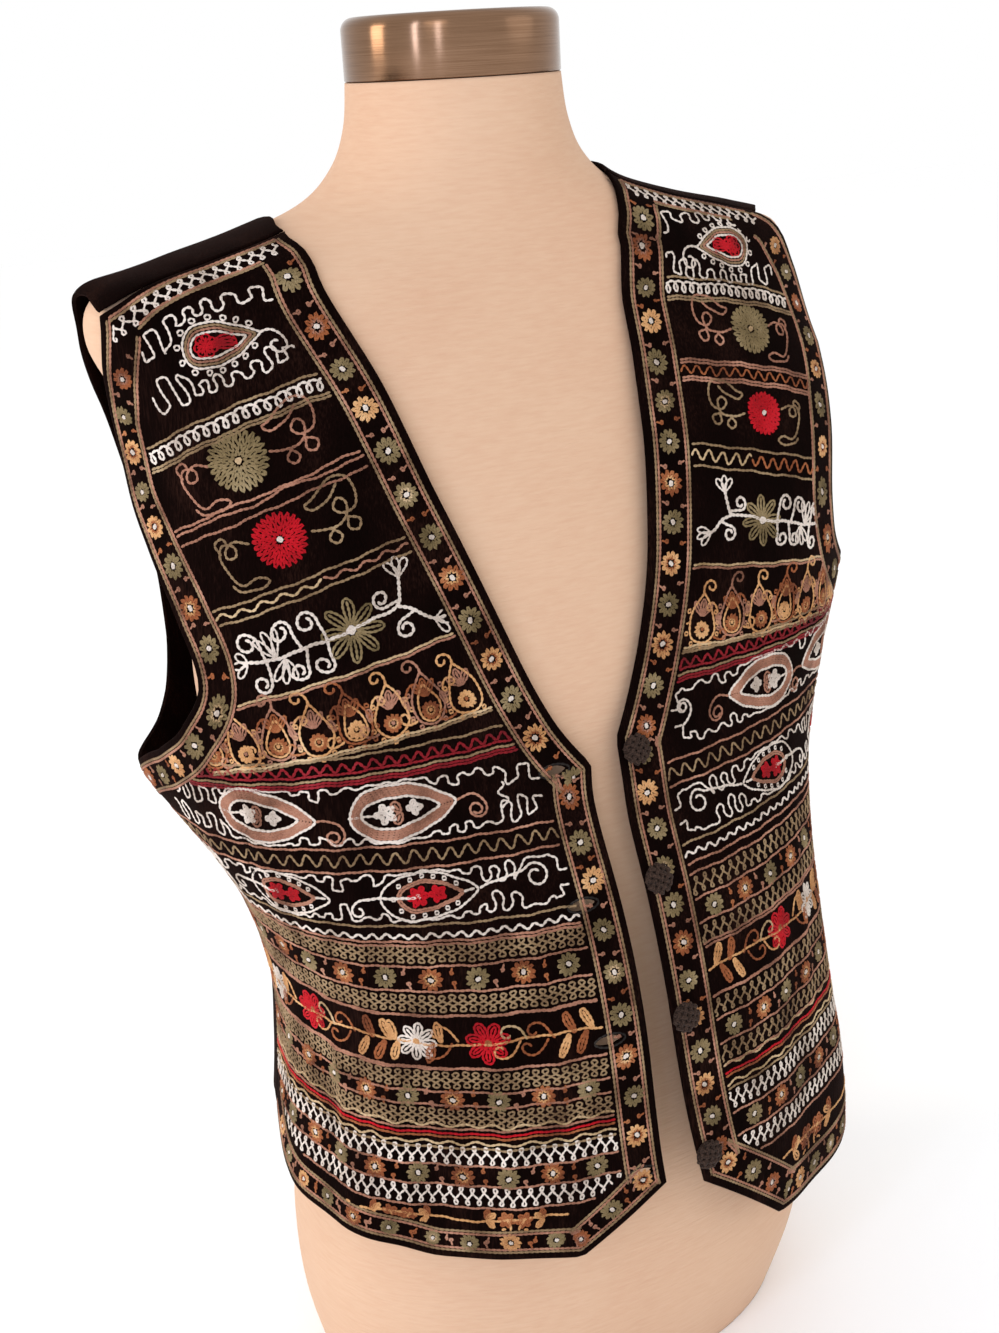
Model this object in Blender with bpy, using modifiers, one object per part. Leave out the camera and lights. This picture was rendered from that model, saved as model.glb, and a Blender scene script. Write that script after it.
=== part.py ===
"""Embroidered folk waistcoat on a limbless dress form. Metres, +Z up, front towards -Y, origin under its middle."""
import math

import bmesh
import bpy
import numpy as np

# Horizontal sections of the dress form, from its flat base to the top of its neck, and how far the cloth stands off it.
# height, half width, front reach, back reach, squareness, then stand-off on the wearer's right, left, front and back
SECTIONS = np.array([
    (0.000, 0.138, 0.116, 0.074, 2.3, 0.010, 0.012, 0.022, 0.006),
    (0.050, 0.149, 0.131, 0.078, 2.3, 0.010, 0.012, 0.022, 0.006),
    (0.100, 0.152, 0.137, 0.075, 2.3, 0.010, 0.013, 0.023, 0.006),
    (0.150, 0.148, 0.136, 0.070, 2.3, 0.009, 0.014, 0.025, 0.007),
    (0.200, 0.142, 0.132, 0.070, 2.3, 0.008, 0.014, 0.024, 0.008),
    (0.250, 0.140, 0.127, 0.074, 2.3, 0.007, 0.013, 0.022, 0.008),
    (0.300, 0.146, 0.118, 0.085, 2.3, 0.010, 0.012, 0.016, 0.008),
    (0.350, 0.158, 0.103, 0.102, 2.3, 0.019, 0.018, 0.009, 0.009),
    (0.400, 0.160, 0.093, 0.112, 2.3, 0.030, 0.038, 0.004, 0.010),
    (0.450, 0.157, 0.084, 0.118, 2.3, 0.031, 0.051, 0.0028, 0.009),
    (0.500, 0.161, 0.0725, 0.1190, 2.3, 0.026, 0.053, 0.0022, 0.008),
    (0.545, 0.175, 0.0600, 0.1140, 2.25, 0.013, 0.036, 0.0018, 0.0060),
    (0.578, 0.190, 0.0500, 0.0985, 2.2, 0.0030, 0.011, 0.0016, 0.0050),
    (0.600, 0.187, 0.0430, 0.0760, 2.1, 0.0015, 0.0025, 0.0015, 0.0045),
    (0.610, 0.158, 0.0400, 0.0700, 2.0, 0.0014, 0.0016, 0.0015, 0.0032),
    (0.619, 0.120, 0.0380, 0.0680, 2.0, 0.0014, 0.0014, 0.0014, 0.0018),
    (0.631, 0.083, 0.0370, 0.0670, 2.0, 0.0012, 0.0012, 0.0012, 0.0012),
    (0.646, 0.064, 0.0365, 0.0670, 2.0, 0.0012, 0.0012, 0.0012, 0.0012),
    (0.664, 0.055, 0.0365, 0.0670, 2.0, 0.0012, 0.0012, 0.0012, 0.0012),
    (0.684, 0.052, 0.0360, 0.0670, 2.0, 0.0012, 0.0012, 0.0012, 0.0012),
])
MIDDLE = (-0.006, 0.019)     # moves the whole so that its origin is under its middle
CLOTH = 0.002               # velvet with its lining
SEAM_TRIM = 0.0004          # each piece stops this short of the line where it is sewn to the next

# The cut edges of each front: turn in degrees from the centre front towards the side seam, level counted in sections.
# Inner edge: hem corner, up the front edge, V-break, up the neckline, neck end of the shoulder seam.
INNER = {
    "right": [(2.4, 3.24), (2.9, 3.67), (3.3, 4.90), (3.3, 5.56), (3.4, 6.29), (3.3, 7.01), (2.6, 7.39), (6.5, 7.79),
              (15.3, 9.14), (21.3, 10.28), (23.2, 10.94), (25.0, 11.73), (32.8, 13.33), (46.0, 14.50), (64.9, 15.19)],
    "left": [(3.1, 3.08), (2.1, 3.46), (1.1, 4.05), (0.4, 4.84), (0.3, 5.62), (0.3, 6.15), (0.4, 6.66), (0.9, 7.21),
             (1.1, 7.56), (4.6, 8.02), (7.6, 8.48), (11.5, 9.32), (13.5, 10.40), (13.6, 11.13), (13.2, 11.90),
             (18.5, 13.60), (33.0, 15.20), (59.0, 16.25)],
}
BREAK = {"right": 6, "left": 8}      # the row of INNER at the V-break
# Outer edge: hem at the side seam, up the side seam, underarm, round the armhole, shoulder end of the seam.
OUTER = {
    "right": [(104.0, 3.40), (104.0, 4.60), (103.0, 6.00), (100.0, 7.45), (86.0, 7.80), (76.5, 8.10), (71.3, 8.50),
              (74.5, 9.10), (79.5, 9.80), (83.0, 10.45), (83.5, 11.10), (80.8, 11.65), (78.3, 12.05), (77.5, 12.40),
              (78.5, 12.70)],
    "left": [(104.0, 2.90), (104.0, 4.40), (103.0, 6.00), (100.0, 7.60), (86.0, 8.00), (76.0, 8.25), (68.0, 8.48),
             (62.0, 8.85), (59.8, 9.40), (61.0, 10.05), (63.5, 10.70), (64.5, 11.30), (64.0, 12.00), (63.0, 12.60),
             (62.5, 13.10), (63.0, 13.60)],
}
UNDERARM = 3                         # the row of OUTER at the underarm
# Hem: corner of the front edge, low point, then round to the side seam.
HEM = {
    "right": [(2.4, 3.24), (17.4, 2.70), (27.7, 2.78), (43.5, 2.80), (55.1, 2.92), (72.1, 2.95), (85.4, 3.00),
              (93.4, 3.11), (104.0, 3.40)],
    "left": [(3.1, 3.08), (20.6, 2.17), (32.0, 2.08), (43.3, 2.05), (58.7, 2.12), (75.0, 2.35), (90.0, 2.60),
             (104.0, 2.90)],
}
# Shoulder seam, from the neck to the shoulder end; the back's yoke wraps forward over the ridge to meet it.
SEAM = {
    "right": [(64.9, 15.19), (64.5, 14.50), (66.0, 13.95), (68.0, 13.40), (72.3, 12.97), (78.5, 12.70)],
    "left": [(59.0, 16.25), (60.0, 15.40), (61.2, 14.70), (62.2, 14.10), (63.0, 13.60)],
}
# Back, each half: up the centre, round the back neckline, forward to the neck end of the shoulder seam.
BACK_CENTRE = {
    "right": [(180.0, 3.15), (180.0, 5.50), (180.0, 8.50), (180.0, 11.5), (180.0, 14.20), (150.0, 14.70),
              (120.0, 15.20), (92.0, 15.55), (64.9, 15.19)],
    "left": [(180.0, 3.15), (180.0, 5.50), (180.0, 8.50), (180.0, 11.5), (180.0, 14.20), (150.0, 14.80),
             (120.0, 15.60), (90.0, 16.45), (59.0, 16.25)],
}
BACK_NECK = 4                        # the row of BACK_CENTRE at the back neck
# Back, each half: up the side seam, underarm, round the back of the armhole, over the ridge to the shoulder seam.
BACK_OUTER = {
    "right": [(104.0, 3.40), (104.0, 4.60), (103.0, 6.00), (100.0, 7.45), (112.0, 7.55), (121.0, 7.80), (125.0, 8.30),
              (124.0, 8.90), (119.0, 9.85), (113.0, 10.70), (107.0, 11.40), (105.0, 12.00), (100.0, 12.72),
              (90.0, 12.95), (78.5, 12.70)],
    "left": [(104.0, 2.90), (104.0, 4.40), (103.0, 6.00), (100.0, 7.60), (112.0, 7.70), (121.0, 7.95), (125.0, 8.40),
             (124.0, 9.00), (119.0, 9.90), (113.0, 10.70), (107.0, 11.40), (104.5, 12.10), (99.0, 12.90),
             (84.0, 13.50), (63.0, 13.60)],
}
BACK_HEM = {
    "right": [(180.0, 3.15), (150.0, 3.18), (125.0, 3.28), (104.0, 3.40)],
    "left": [(180.0, 3.15), (150.0, 3.08), (125.0, 2.98), (104.0, 2.90)],
}
# Soft folds of the hanging cloth: side, turn of its line at the top and at the hem, level at the top, level at the hem,
# half width in degrees, height out from the body
FOLDS = [
    ("right", 56.0, 62.0, 8.2, 2.6, 9.0, 0.005),
    ("right", 40.0, 42.0, 6.5, 2.4, 8.0, -0.003),
    ("right", 88.0, 84.0, 6.5, 2.6, 8.0, 0.004),
    ("left", 52.0, 56.0, 8.4, 2.0, 9.0, 0.005),
    ("left", 30.0, 34.0, 6.0, 2.0, 8.0, -0.003),
    ("left", 80.0, 78.0, 6.5, 2.2, 9.0, 0.004),
    ("right", 128.0, 124.0, 7.0, 2.8, 9.0, 0.005),
    ("left", 126.0, 122.0, 6.6, 2.6, 9.0, 0.006),
    ("right", 152.0, 156.0, 7.5, 2.8, 8.0, 0.004),
    ("left", 150.0, 152.0, 7.2, 2.6, 8.0, 0.004),
]
# Puckers where the armhole edges pull: side, turn, level, half width in degrees, half height in levels, height
PUCKERS = [
    ("right", 100.0, 7.40, 10.0, 0.45, 0.009),
    ("left", 76.0, 8.45, 8.0, 0.50, 0.006),
    ("right", 99.0, 12.85, 9.0, 0.45, 0.004),
]
# Buttons down the wearer's left front edge and the slits opposite them: turn, level
BUTTONS = [(3.2, 7.42), (1.9, 6.19), (2.1, 4.90), (3.6, 3.40)]
SLITS = [(8.9, 7.41), (10.0, 6.15), (10.1, 4.89), (6.9, 3.44)]
BUTTON_R, BUTTON_RISE = 0.0074, 0.0062
SLIT_LONG, SLIT_WIDE = 0.0150, 0.0040
CAP_TOP, CAP_R, CAP_ROUND = 0.713, 0.0520, 0.0060

CLASS_ROUGHNESS = {"jersey": 0.95, "velvet": 0.9, "brushed steel": 0.3, "woven cord": 0.8}
CLASS_COLOUR = {"jersey": (0.80, 0.62, 0.47), "velvet": (0.012, 0.010, 0.010), "brushed steel": (0.55, 0.53, 0.50),
                "woven cord": (0.10, 0.07, 0.05)}


def section(level):
    """Smoothly blended row of SECTIONS at a level that need not be whole."""
    level = np.clip(level, 0, len(SECTIONS) - 1.0001)
    i = int(level)
    s = level - i
    p = [SECTIONS[min(max(j, 0), len(SECTIONS) - 1)] for j in (i - 1, i, i + 1, i + 2)]
    return 0.5 * (2 * p[1] + (p[2] - p[0]) * s + (2 * p[0] - 5 * p[1] + 4 * p[2] - p[3]) * s ** 2
                  + (3 * p[1] - p[0] - 3 * p[2] + p[3]) * s ** 3)


def form_point(turn, level):
    """Point on the form; turn is in radians from the centre front, positive to the wearer's left (+X)."""
    z, half, front, back, square = section(level)[:5]
    middle, deep = (back - front) / 2, (back + front) / 2
    s, c = math.sin(turn), math.cos(turn)
    power = 2 / square
    return np.array([MIDDLE[0] + half * math.copysign(abs(s) ** power, s),
                     MIDDLE[1] + middle - deep * math.copysign(abs(c) ** power, c), z])


def form_normal(turn, level):
    """Outward direction of the form's surface."""
    step = 0.02
    across = form_point(turn + step, level) - form_point(turn - step, level)
    up = form_point(turn, min(level + step * 2, len(SECTIONS) - 1.01)) - form_point(turn, max(level - step * 2, 0))
    out = np.cross(across, up)
    return out / np.linalg.norm(out)


def fold_height(turn, level):
    """How far the folds lift the cloth at a point."""
    side = "left" if turn > 0 else "right"
    lift = 0.0
    for name, turn_top, turn_hem, top, hem, half, height in FOLDS:
        if name != side:
            continue
        down = min(max((top - level) / (top - hem), 0.0), 1.0)
        line = turn_top + (turn_hem - turn_top) * down
        away = (abs(math.degrees(turn)) - line) / (half * (0.7 + 0.5 * down))
        lift += height * down * down * (3 - 2 * down) * math.exp(-away * away)
    for name, middle, high, half, tall, height in PUCKERS:
        if name == side:
            away = ((abs(math.degrees(turn)) - middle) / half) ** 2 + ((level - high) / tall) ** 2
            lift += height * math.exp(-away)
    return lift


def cloth_point(turn, level, lift=0.0):
    """Point on the inner face of the cloth, moved out by lift."""
    right_side, left_side, front, back = section(level)[5:]
    c = math.cos(turn)
    side = left_side if turn > 0 else right_side
    ease = side + (front - side) * max(c, 0.0) ** 2 + (back - side) * max(-c, 0.0) ** 2
    return form_point(turn, level) + form_normal(turn, level) * (ease + fold_height(turn, level) + lift)


class Edge:
    """Smooth curve through a table of (turn in degrees, level), read by its length along the cloth from 0 to 1.

    corner is the row where the edge turns sharply, and at_corner its share of the length."""

    def __init__(self, rows, sign, corner=None):
        rows = np.array(rows, float)
        self.path = []
        for piece in (rows[:corner + 1], rows[corner:]) if corner else (rows,):
            keep = np.arange(len(piece), dtype=float)
            fine = np.linspace(0, len(piece) - 1, 12 * (len(piece) - 1) + 1)
            self.path += [[self.through(keep, piece[:, k], s) for k in (0, 1)] for s in fine[1 if self.path else 0:]]
        self.path = np.array(self.path)
        self.path[:, 0] = np.radians(self.path[:, 0]) * sign
        points = np.array([cloth_point(t, l) for t, l in self.path])
        lengths = np.linalg.norm(np.diff(points, axis=0), axis=1)
        self.along = np.concatenate([[0], np.cumsum(lengths)]) / lengths.sum()
        self.at_corner = self.along[12 * corner] if corner else None

    @staticmethod
    def through(xs, ys, x):
        """Cubic through the points that never swings past them."""
        slope = np.diff(ys) / np.diff(xs)
        tangent = np.zeros(len(ys))
        tangent[0], tangent[-1] = slope[0], slope[-1]
        for i in range(1, len(ys) - 1):
            a, b = slope[i - 1], slope[i]
            tangent[i] = 0 if a * b <= 0 else 2 * a * b / (a + b)
        i = min(int(x), len(xs) - 2)
        s = x - i
        return ((1 + 2 * s) * (1 - s) ** 2 * ys[i] + s * (1 - s) ** 2 * tangent[i]
                + s * s * (3 - 2 * s) * ys[i + 1] + s * s * (s - 1) * tangent[i + 1])

    def __call__(self, share):
        return np.array([np.interp(share, self.along, self.path[:, 0]), np.interp(share, self.along, self.path[:, 1])])


class Panel:
    """A cut piece with four edges: inner and outer run up from the hem, hem and seam run from inner to outer."""

    def __init__(self, side, inner, turning, outer, hem, low, seam):
        sign = 1 if side == "left" else -1
        self.inner, self.outer = Edge(inner[side], sign, turning), Edge(outer[side], sign, UNDERARM)
        self.hem, self.seam = Edge(hem[side], sign, low), Edge(seam[side], sign)

    def __call__(self, u, v):
        """Turn and level at share u across and v up the piece."""
        corners = ((1 - u) * (1 - v) * self.inner(0) + u * (1 - v) * self.outer(0)
                   + (1 - u) * v * self.inner(1) + u * v * self.outer(1))
        return ((1 - u) * self.inner(v) + u * self.outer(v) + (1 - v) * self.hem(u) + v * self.seam(u) - corners)


def steps(*stops):
    """Shares running through stops, each given as (share, number of steps to get there)."""
    shares, last = [0.0], 0.0
    for share, count in stops:
        shares += [last + (share - last) * (i + 1) / count for i in range(count)]
        last = share
    return shares


def new_object(name, mesh, collection, finish):
    mesh.validate()
    obj = bpy.data.objects.new(name, mesh)
    collection.objects.link(obj)
    if finish:
        material = bpy.data.materials.new(name)
        material.use_nodes = True
        shader = material.node_tree.nodes["Principled BSDF"]
        shader.inputs["Base Color"].default_value = (*CLASS_COLOUR[finish], 1)
        shader.inputs["Roughness"].default_value = CLASS_ROUGHNESS[finish]
        shader.inputs["Metallic"].default_value = 1.0 if finish == "brushed steel" else 0.0
        mesh.materials.append(material)
    return obj


def mesh_from(name, verts, faces):
    mesh = bpy.data.meshes.new(name)
    mesh.from_pydata([tuple(v) for v in verts], [], faces)
    mesh.update()
    return mesh


def grid_faces(rows, columns, first=0, flip=False):
    faces = []
    for r in range(rows - 1):
        for c in range(columns - 1):
            a = first + r * columns + c
            face = (a, a + 1, a + columns + 1, a + columns)
            faces.append(face[::-1] if flip else face)
    return faces


def sheet(name, patches, collection):
    """Cloth of even thickness from patches of points, each given as (rows of points, whether to turn it over)."""
    verts, faces = [], []
    for rows, flip in patches:
        faces += grid_faces(len(rows), len(rows[0]), len(verts), flip)
        verts += [p for row in rows for p in row]
    mesh = mesh_from(name, verts, faces)
    bm = bmesh.new()
    bm.from_mesh(mesh)
    bmesh.ops.remove_doubles(bm, verts=bm.verts, dist=0.00005)
    bm.to_mesh(mesh)
    bm.free()
    obj = new_object(name, mesh, collection, "velvet")
    wall = obj.modifiers.new("Wall", "SOLIDIFY")
    wall.thickness = CLOTH
    wall.offset = 1.0
    wall.use_even_offset = False
    wall.use_rim = True
    return obj


def lathe(name, profile, around, collection, finish, centre=(0.0, 0.0)):
    """Solid turned about a vertical line from (radius, height) pairs, first and last on the line."""
    bm = bmesh.new()
    rings = []
    for radius, height in profile:
        if radius == 0:
            rings.append([bm.verts.new((centre[0], centre[1], height))])
        else:
            rings.append([bm.verts.new((centre[0] + radius * math.cos(a), centre[1] + radius * math.sin(a), height))
                          for a in (2 * math.pi * i / around for i in range(around))])
    for low, high in zip(rings, rings[1:]):
        for i in range(around):
            j = (i + 1) % around
            face = [low[i % len(low)], low[j % len(low)], high[j % len(high)], high[i % len(high)]]
            bm.faces.new(list(dict.fromkeys(face)))
    bmesh.ops.recalc_face_normals(bm, faces=bm.faces)
    mesh = bpy.data.meshes.new(name)
    bm.to_mesh(mesh)
    bm.free()
    return new_object(name, mesh, collection, finish)


def torso(collection):
    """The form, one closed smooth solid from flat base to the top of the neck."""
    around = 52
    levels = steps((11 / 19, 13), (15 / 19, 10), (1.0, 6))
    rows = [[form_point(2 * math.pi * i / around, share * 19 * 0.99999) for i in range(around)] for share in levels]
    verts = [p for row in rows for p in row]
    faces = []
    for r in range(len(rows) - 1):
        for i in range(around):
            j = (i + 1) % around
            faces.append((r * around + i, r * around + j, (r + 1) * around + j, (r + 1) * around + i))
    faces.append(tuple(reversed(range(around))))
    faces.append(tuple(range((len(rows) - 1) * around, len(rows) * around)))
    obj = new_object("form_torso", mesh_from("form_torso", verts, faces), collection, "jersey")
    obj.data.shade_smooth()
    return obj


def local_frame(turn, level, lift):
    """Matrix at a point of the cloth: X across it, Y up it, Z outward."""
    from mathutils import Matrix, Vector
    step = 0.01
    at = cloth_point(turn, level, lift)
    across = Vector(cloth_point(turn + step, level, lift) - cloth_point(turn - step, level, lift)).normalized()
    up = Vector(cloth_point(turn, level + step, lift) - cloth_point(turn, level - step, lift))
    out = across.cross(up).normalized()
    up = out.cross(across)
    return Matrix.Translation(Vector(at)) @ Matrix((across, up, out)).transposed().to_4x4()


def pull_in(rows):
    """Trim the outer edge and the seam edge of a piece, given as rows of points from the hem up."""
    def towards(edge, inside):
        way = inside - edge
        return edge + way * (SEAM_TRIM / np.linalg.norm(way))
    rows = [row[:-1] + [towards(row[-1], row[-2])] for row in rows]
    rows[-1] = [towards(edge, inside) for edge, inside in zip(rows[-1], rows[-2])]
    return rows


def front(side, collection):
    panel = Panel(side, INNER, BREAK[side], OUTER, HEM, 1, SEAM)
    across = steps((panel.hem.at_corner, 3), (1.0, 13))
    up = steps((panel.inner.at_corner, 11), (0.9, 14), (1.0, 4))
    rows = [[cloth_point(*panel(u, v)) for u in across] for v in up]
    return sheet("vest_front_" + side, [(pull_in(rows), side == "right")], collection)


def back(collection):
    """Both halves welded down the centre; its yoke wraps forward over the shoulders."""
    halves = []
    to_underarm, to_neck = 11, 5
    for side in ("right", "left"):
        panel = Panel(side, BACK_CENTRE, BACK_NECK, BACK_OUTER, BACK_HEM, None, SEAM)
        across = steps((1.0, 14))
        up = steps((panel.outer.at_corner, to_underarm), (panel.inner.at_corner, to_neck), (1.0, 18))
        rows = [[cloth_point(*panel(u, v)) for u in across] for v in up]
        halves.append(pull_in(rows))
    for r in range(to_underarm + to_neck + 1):
        halves[1][r][0] = halves[0][r][0]
    return sheet("vest_back", [(halves[0], False), (halves[1], True)], collection)


def buttons(collection):
    """Four domed buttons of woven cord."""
    for number, (turn, level) in enumerate(BUTTONS, 1):
        dome = [(0, 0), (0.0048, 0), (BUTTON_R * 0.93, 0.0012), (BUTTON_R, 0.0026), (BUTTON_R * 0.90, 0.0042),
                (BUTTON_R * 0.62, 0.0056), (BUTTON_R * 0.28, BUTTON_RISE), (0, BUTTON_RISE + 0.0001)]
        obj = lathe("button_%d" % number, dome, 16, collection, "woven cord")
        obj.data.transform(local_frame(math.radians(turn), level, CLOTH + 0.0006))
        obj.data.shade_smooth()


def slits(target, collection):
    """Buttonholes cut through the wearer's right front, each a narrow pointed opening."""
    for number, (turn, level) in enumerate(SLITS, 1):
        count = 6
        half = [(SLIT_LONG / 2 * math.cos(math.pi * i / count), SLIT_WIDE / 2 * math.sin(math.pi * i / count) ** 1.5)
                for i in range(count + 1)]
        ring = half + [(x, -y) for x, y in reversed(half[1:-1])]
        verts = [(x, y, z) for z in (-0.006, 0.008) for x, y in ring]
        n = len(ring)
        faces = [tuple(reversed(range(n))), tuple(range(n, 2 * n))]
        faces += [(i, (i + 1) % n, n + (i + 1) % n, n + i) for i in range(n)]
        cutter = new_object("cut_slit_%d" % number, mesh_from("cut_slit", verts, faces), collection, None)
        cutter.data.transform(local_frame(math.radians(-turn), level, CLOTH / 2))
        cutter.hide_render = True
        cutter.display_type = "WIRE"
        cut = target.modifiers.new("Slit %d" % number, "BOOLEAN")
        cut.operation, cut.solver, cut.object = "DIFFERENCE", "EXACT", cutter


for stale in list(bpy.data.objects):
    bpy.data.objects.remove(stale, do_unlink=True)
parts = bpy.data.collections.new("Folk waistcoat on dress form")
cutters = bpy.data.collections.new("Cutters")
for group in (parts, cutters):
    bpy.context.scene.collection.children.link(group)

torso(parts)
lathe("neck_cap", [(0, 0.6843), (CAP_R, 0.6843), (CAP_R, CAP_TOP - CAP_ROUND)]
      + [(CAP_R - CAP_ROUND * (1 - math.sin(a)), CAP_TOP - CAP_ROUND * (1 - math.cos(a)))
         for a in (math.radians(60), math.radians(30), 0)][:3] + [(0, CAP_TOP)], 48, parts, "brushed steel",
      (MIDDLE[0], MIDDLE[1] + (SECTIONS[-1][3] - SECTIONS[-1][2]) / 2))
back(parts)
right = front("right", parts)
front("left", parts)
slits(right, cutters)
buttons(parts)
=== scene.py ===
"""Looks of the embroidered folk waistcoat on its dress form: velvet, chain stitch, woven buttons, jersey and steel.

Metres, +Z up, front towards -Y. Stitch patterns are drawn in millimetres along guide lines laid on the cloth."""
import math
from contextlib import contextmanager

import bmesh
import bpy
import numpy as np
from mathutils import Matrix, Vector


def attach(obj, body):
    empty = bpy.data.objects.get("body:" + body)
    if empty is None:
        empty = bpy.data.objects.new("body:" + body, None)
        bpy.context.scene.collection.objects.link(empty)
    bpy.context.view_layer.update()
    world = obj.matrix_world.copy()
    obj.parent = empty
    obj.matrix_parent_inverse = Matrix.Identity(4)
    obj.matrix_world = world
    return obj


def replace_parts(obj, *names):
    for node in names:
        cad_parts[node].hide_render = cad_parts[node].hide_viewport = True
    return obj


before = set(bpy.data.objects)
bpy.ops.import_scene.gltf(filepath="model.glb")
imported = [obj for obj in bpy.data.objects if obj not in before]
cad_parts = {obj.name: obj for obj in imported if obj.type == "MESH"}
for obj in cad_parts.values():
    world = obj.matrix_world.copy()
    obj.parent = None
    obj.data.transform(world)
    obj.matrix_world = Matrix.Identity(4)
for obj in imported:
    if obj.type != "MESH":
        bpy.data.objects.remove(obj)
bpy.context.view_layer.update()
MM = 0.001

# ---------------------------------------------------------------- shape of the form and of the cloth on it
# height, half width, front reach, back reach, squareness, then how far the cloth stands off on the wearer's right,
# left, front and back
SECTIONS = np.array([
    (0.000, 0.138, 0.116, 0.074, 2.3, 0.010, 0.012, 0.022, 0.006),
    (0.050, 0.149, 0.131, 0.078, 2.3, 0.010, 0.012, 0.022, 0.006),
    (0.100, 0.152, 0.137, 0.075, 2.3, 0.010, 0.013, 0.023, 0.006),
    (0.150, 0.148, 0.136, 0.070, 2.3, 0.009, 0.014, 0.025, 0.007),
    (0.200, 0.142, 0.132, 0.070, 2.3, 0.008, 0.014, 0.024, 0.008),
    (0.250, 0.140, 0.127, 0.074, 2.3, 0.007, 0.013, 0.022, 0.008),
    (0.300, 0.146, 0.118, 0.085, 2.3, 0.010, 0.012, 0.016, 0.008),
    (0.350, 0.158, 0.103, 0.102, 2.3, 0.019, 0.018, 0.009, 0.009),
    (0.400, 0.160, 0.093, 0.112, 2.3, 0.030, 0.038, 0.004, 0.010),
    (0.450, 0.157, 0.084, 0.118, 2.3, 0.031, 0.051, 0.0028, 0.009),
    (0.500, 0.161, 0.0725, 0.1190, 2.3, 0.026, 0.053, 0.0022, 0.008),
    (0.545, 0.175, 0.0600, 0.1140, 2.25, 0.013, 0.036, 0.0018, 0.0060),
    (0.578, 0.190, 0.0500, 0.0985, 2.2, 0.0030, 0.011, 0.0016, 0.0050),
    (0.600, 0.187, 0.0430, 0.0760, 2.1, 0.0015, 0.0025, 0.0015, 0.0045),
    (0.610, 0.158, 0.0400, 0.0700, 2.0, 0.0014, 0.0016, 0.0015, 0.0032),
    (0.619, 0.120, 0.0380, 0.0680, 2.0, 0.0014, 0.0014, 0.0014, 0.0018),
    (0.631, 0.083, 0.0370, 0.0670, 2.0, 0.0012, 0.0012, 0.0012, 0.0012),
    (0.646, 0.064, 0.0365, 0.0670, 2.0, 0.0012, 0.0012, 0.0012, 0.0012),
    (0.664, 0.055, 0.0365, 0.0670, 2.0, 0.0012, 0.0012, 0.0012, 0.0012),
    (0.684, 0.052, 0.0360, 0.0670, 2.0, 0.0012, 0.0012, 0.0012, 0.0012),
])
MIDDLE = (-0.006, 0.019)
CLOTH = 0.002
SEAM_TRIM = 0.0004 / 0.25            # share left off at a seam: 0.4 mm of a piece about 0.25 m wide
EDGE_STEPS = 12                      # fine steps from one row of an edge's table to the next

# Cut edges, each row a turn in degrees from the centre front and a level counted in sections
INNER = {
    "right": [(2.4, 3.24), (2.9, 3.67), (3.3, 4.90), (3.3, 5.56), (3.4, 6.29), (3.3, 7.01), (2.6, 7.39), (6.5, 7.79),
              (15.3, 9.14), (21.3, 10.28), (23.2, 10.94), (25.0, 11.73), (32.8, 13.33), (46.0, 14.50), (64.9, 15.19)],
    "left": [(3.1, 3.08), (2.1, 3.46), (1.1, 4.05), (0.4, 4.84), (0.3, 5.62), (0.3, 6.15), (0.4, 6.66), (0.9, 7.21),
             (1.1, 7.56), (4.6, 8.02), (7.6, 8.48), (11.5, 9.32), (13.5, 10.40), (13.6, 11.13), (13.2, 11.90),
             (18.5, 13.60), (33.0, 15.20), (59.0, 16.25)],
}
BREAK = {"right": 6, "left": 8}      # row of INNER where the neckline begins
OUTER = {
    "right": [(104.0, 3.40), (104.0, 4.60), (103.0, 6.00), (100.0, 7.45), (86.0, 7.80), (76.5, 8.10), (71.3, 8.50),
              (74.5, 9.10), (79.5, 9.80), (83.0, 10.45), (83.5, 11.10), (80.8, 11.65), (78.3, 12.05), (77.5, 12.40),
              (78.5, 12.70)],
    "left": [(104.0, 2.90), (104.0, 4.40), (103.0, 6.00), (100.0, 7.60), (86.0, 8.00), (76.0, 8.25), (68.0, 8.48),
             (62.0, 8.85), (59.8, 9.40), (61.0, 10.05), (63.5, 10.70), (64.5, 11.30), (64.0, 12.00), (63.0, 12.60),
             (62.5, 13.10), (63.0, 13.60)],
}
UNDERARM = 3                         # row of OUTER and BACK_OUTER where the armhole begins
HEM = {
    "right": [(2.4, 3.24), (17.4, 2.70), (27.7, 2.78), (43.5, 2.80), (55.1, 2.92), (72.1, 2.95), (85.4, 3.00),
              (93.4, 3.11), (104.0, 3.40)],
    "left": [(3.1, 3.08), (20.6, 2.17), (32.0, 2.08), (43.3, 2.05), (58.7, 2.12), (75.0, 2.35), (90.0, 2.60),
             (104.0, 2.90)],
}
POINT = 1                            # row of HEM at the corner where it turns level
SEAM = {
    "right": [(64.9, 15.19), (64.5, 14.50), (66.0, 13.95), (68.0, 13.40), (72.3, 12.97), (78.5, 12.70)],
    "left": [(59.0, 16.25), (60.0, 15.40), (61.2, 14.70), (62.2, 14.10), (63.0, 13.60)],
}
BACK_CENTRE = {
    "right": [(180.0, 3.15), (180.0, 5.50), (180.0, 8.50), (180.0, 11.5), (180.0, 14.20), (150.0, 14.70),
              (120.0, 15.20), (92.0, 15.55), (64.9, 15.19)],
    "left": [(180.0, 3.15), (180.0, 5.50), (180.0, 8.50), (180.0, 11.5), (180.0, 14.20), (150.0, 14.80),
             (120.0, 15.60), (90.0, 16.45), (59.0, 16.25)],
}
BACK_NECK = 4                        # row of BACK_CENTRE where the back neck begins
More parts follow.
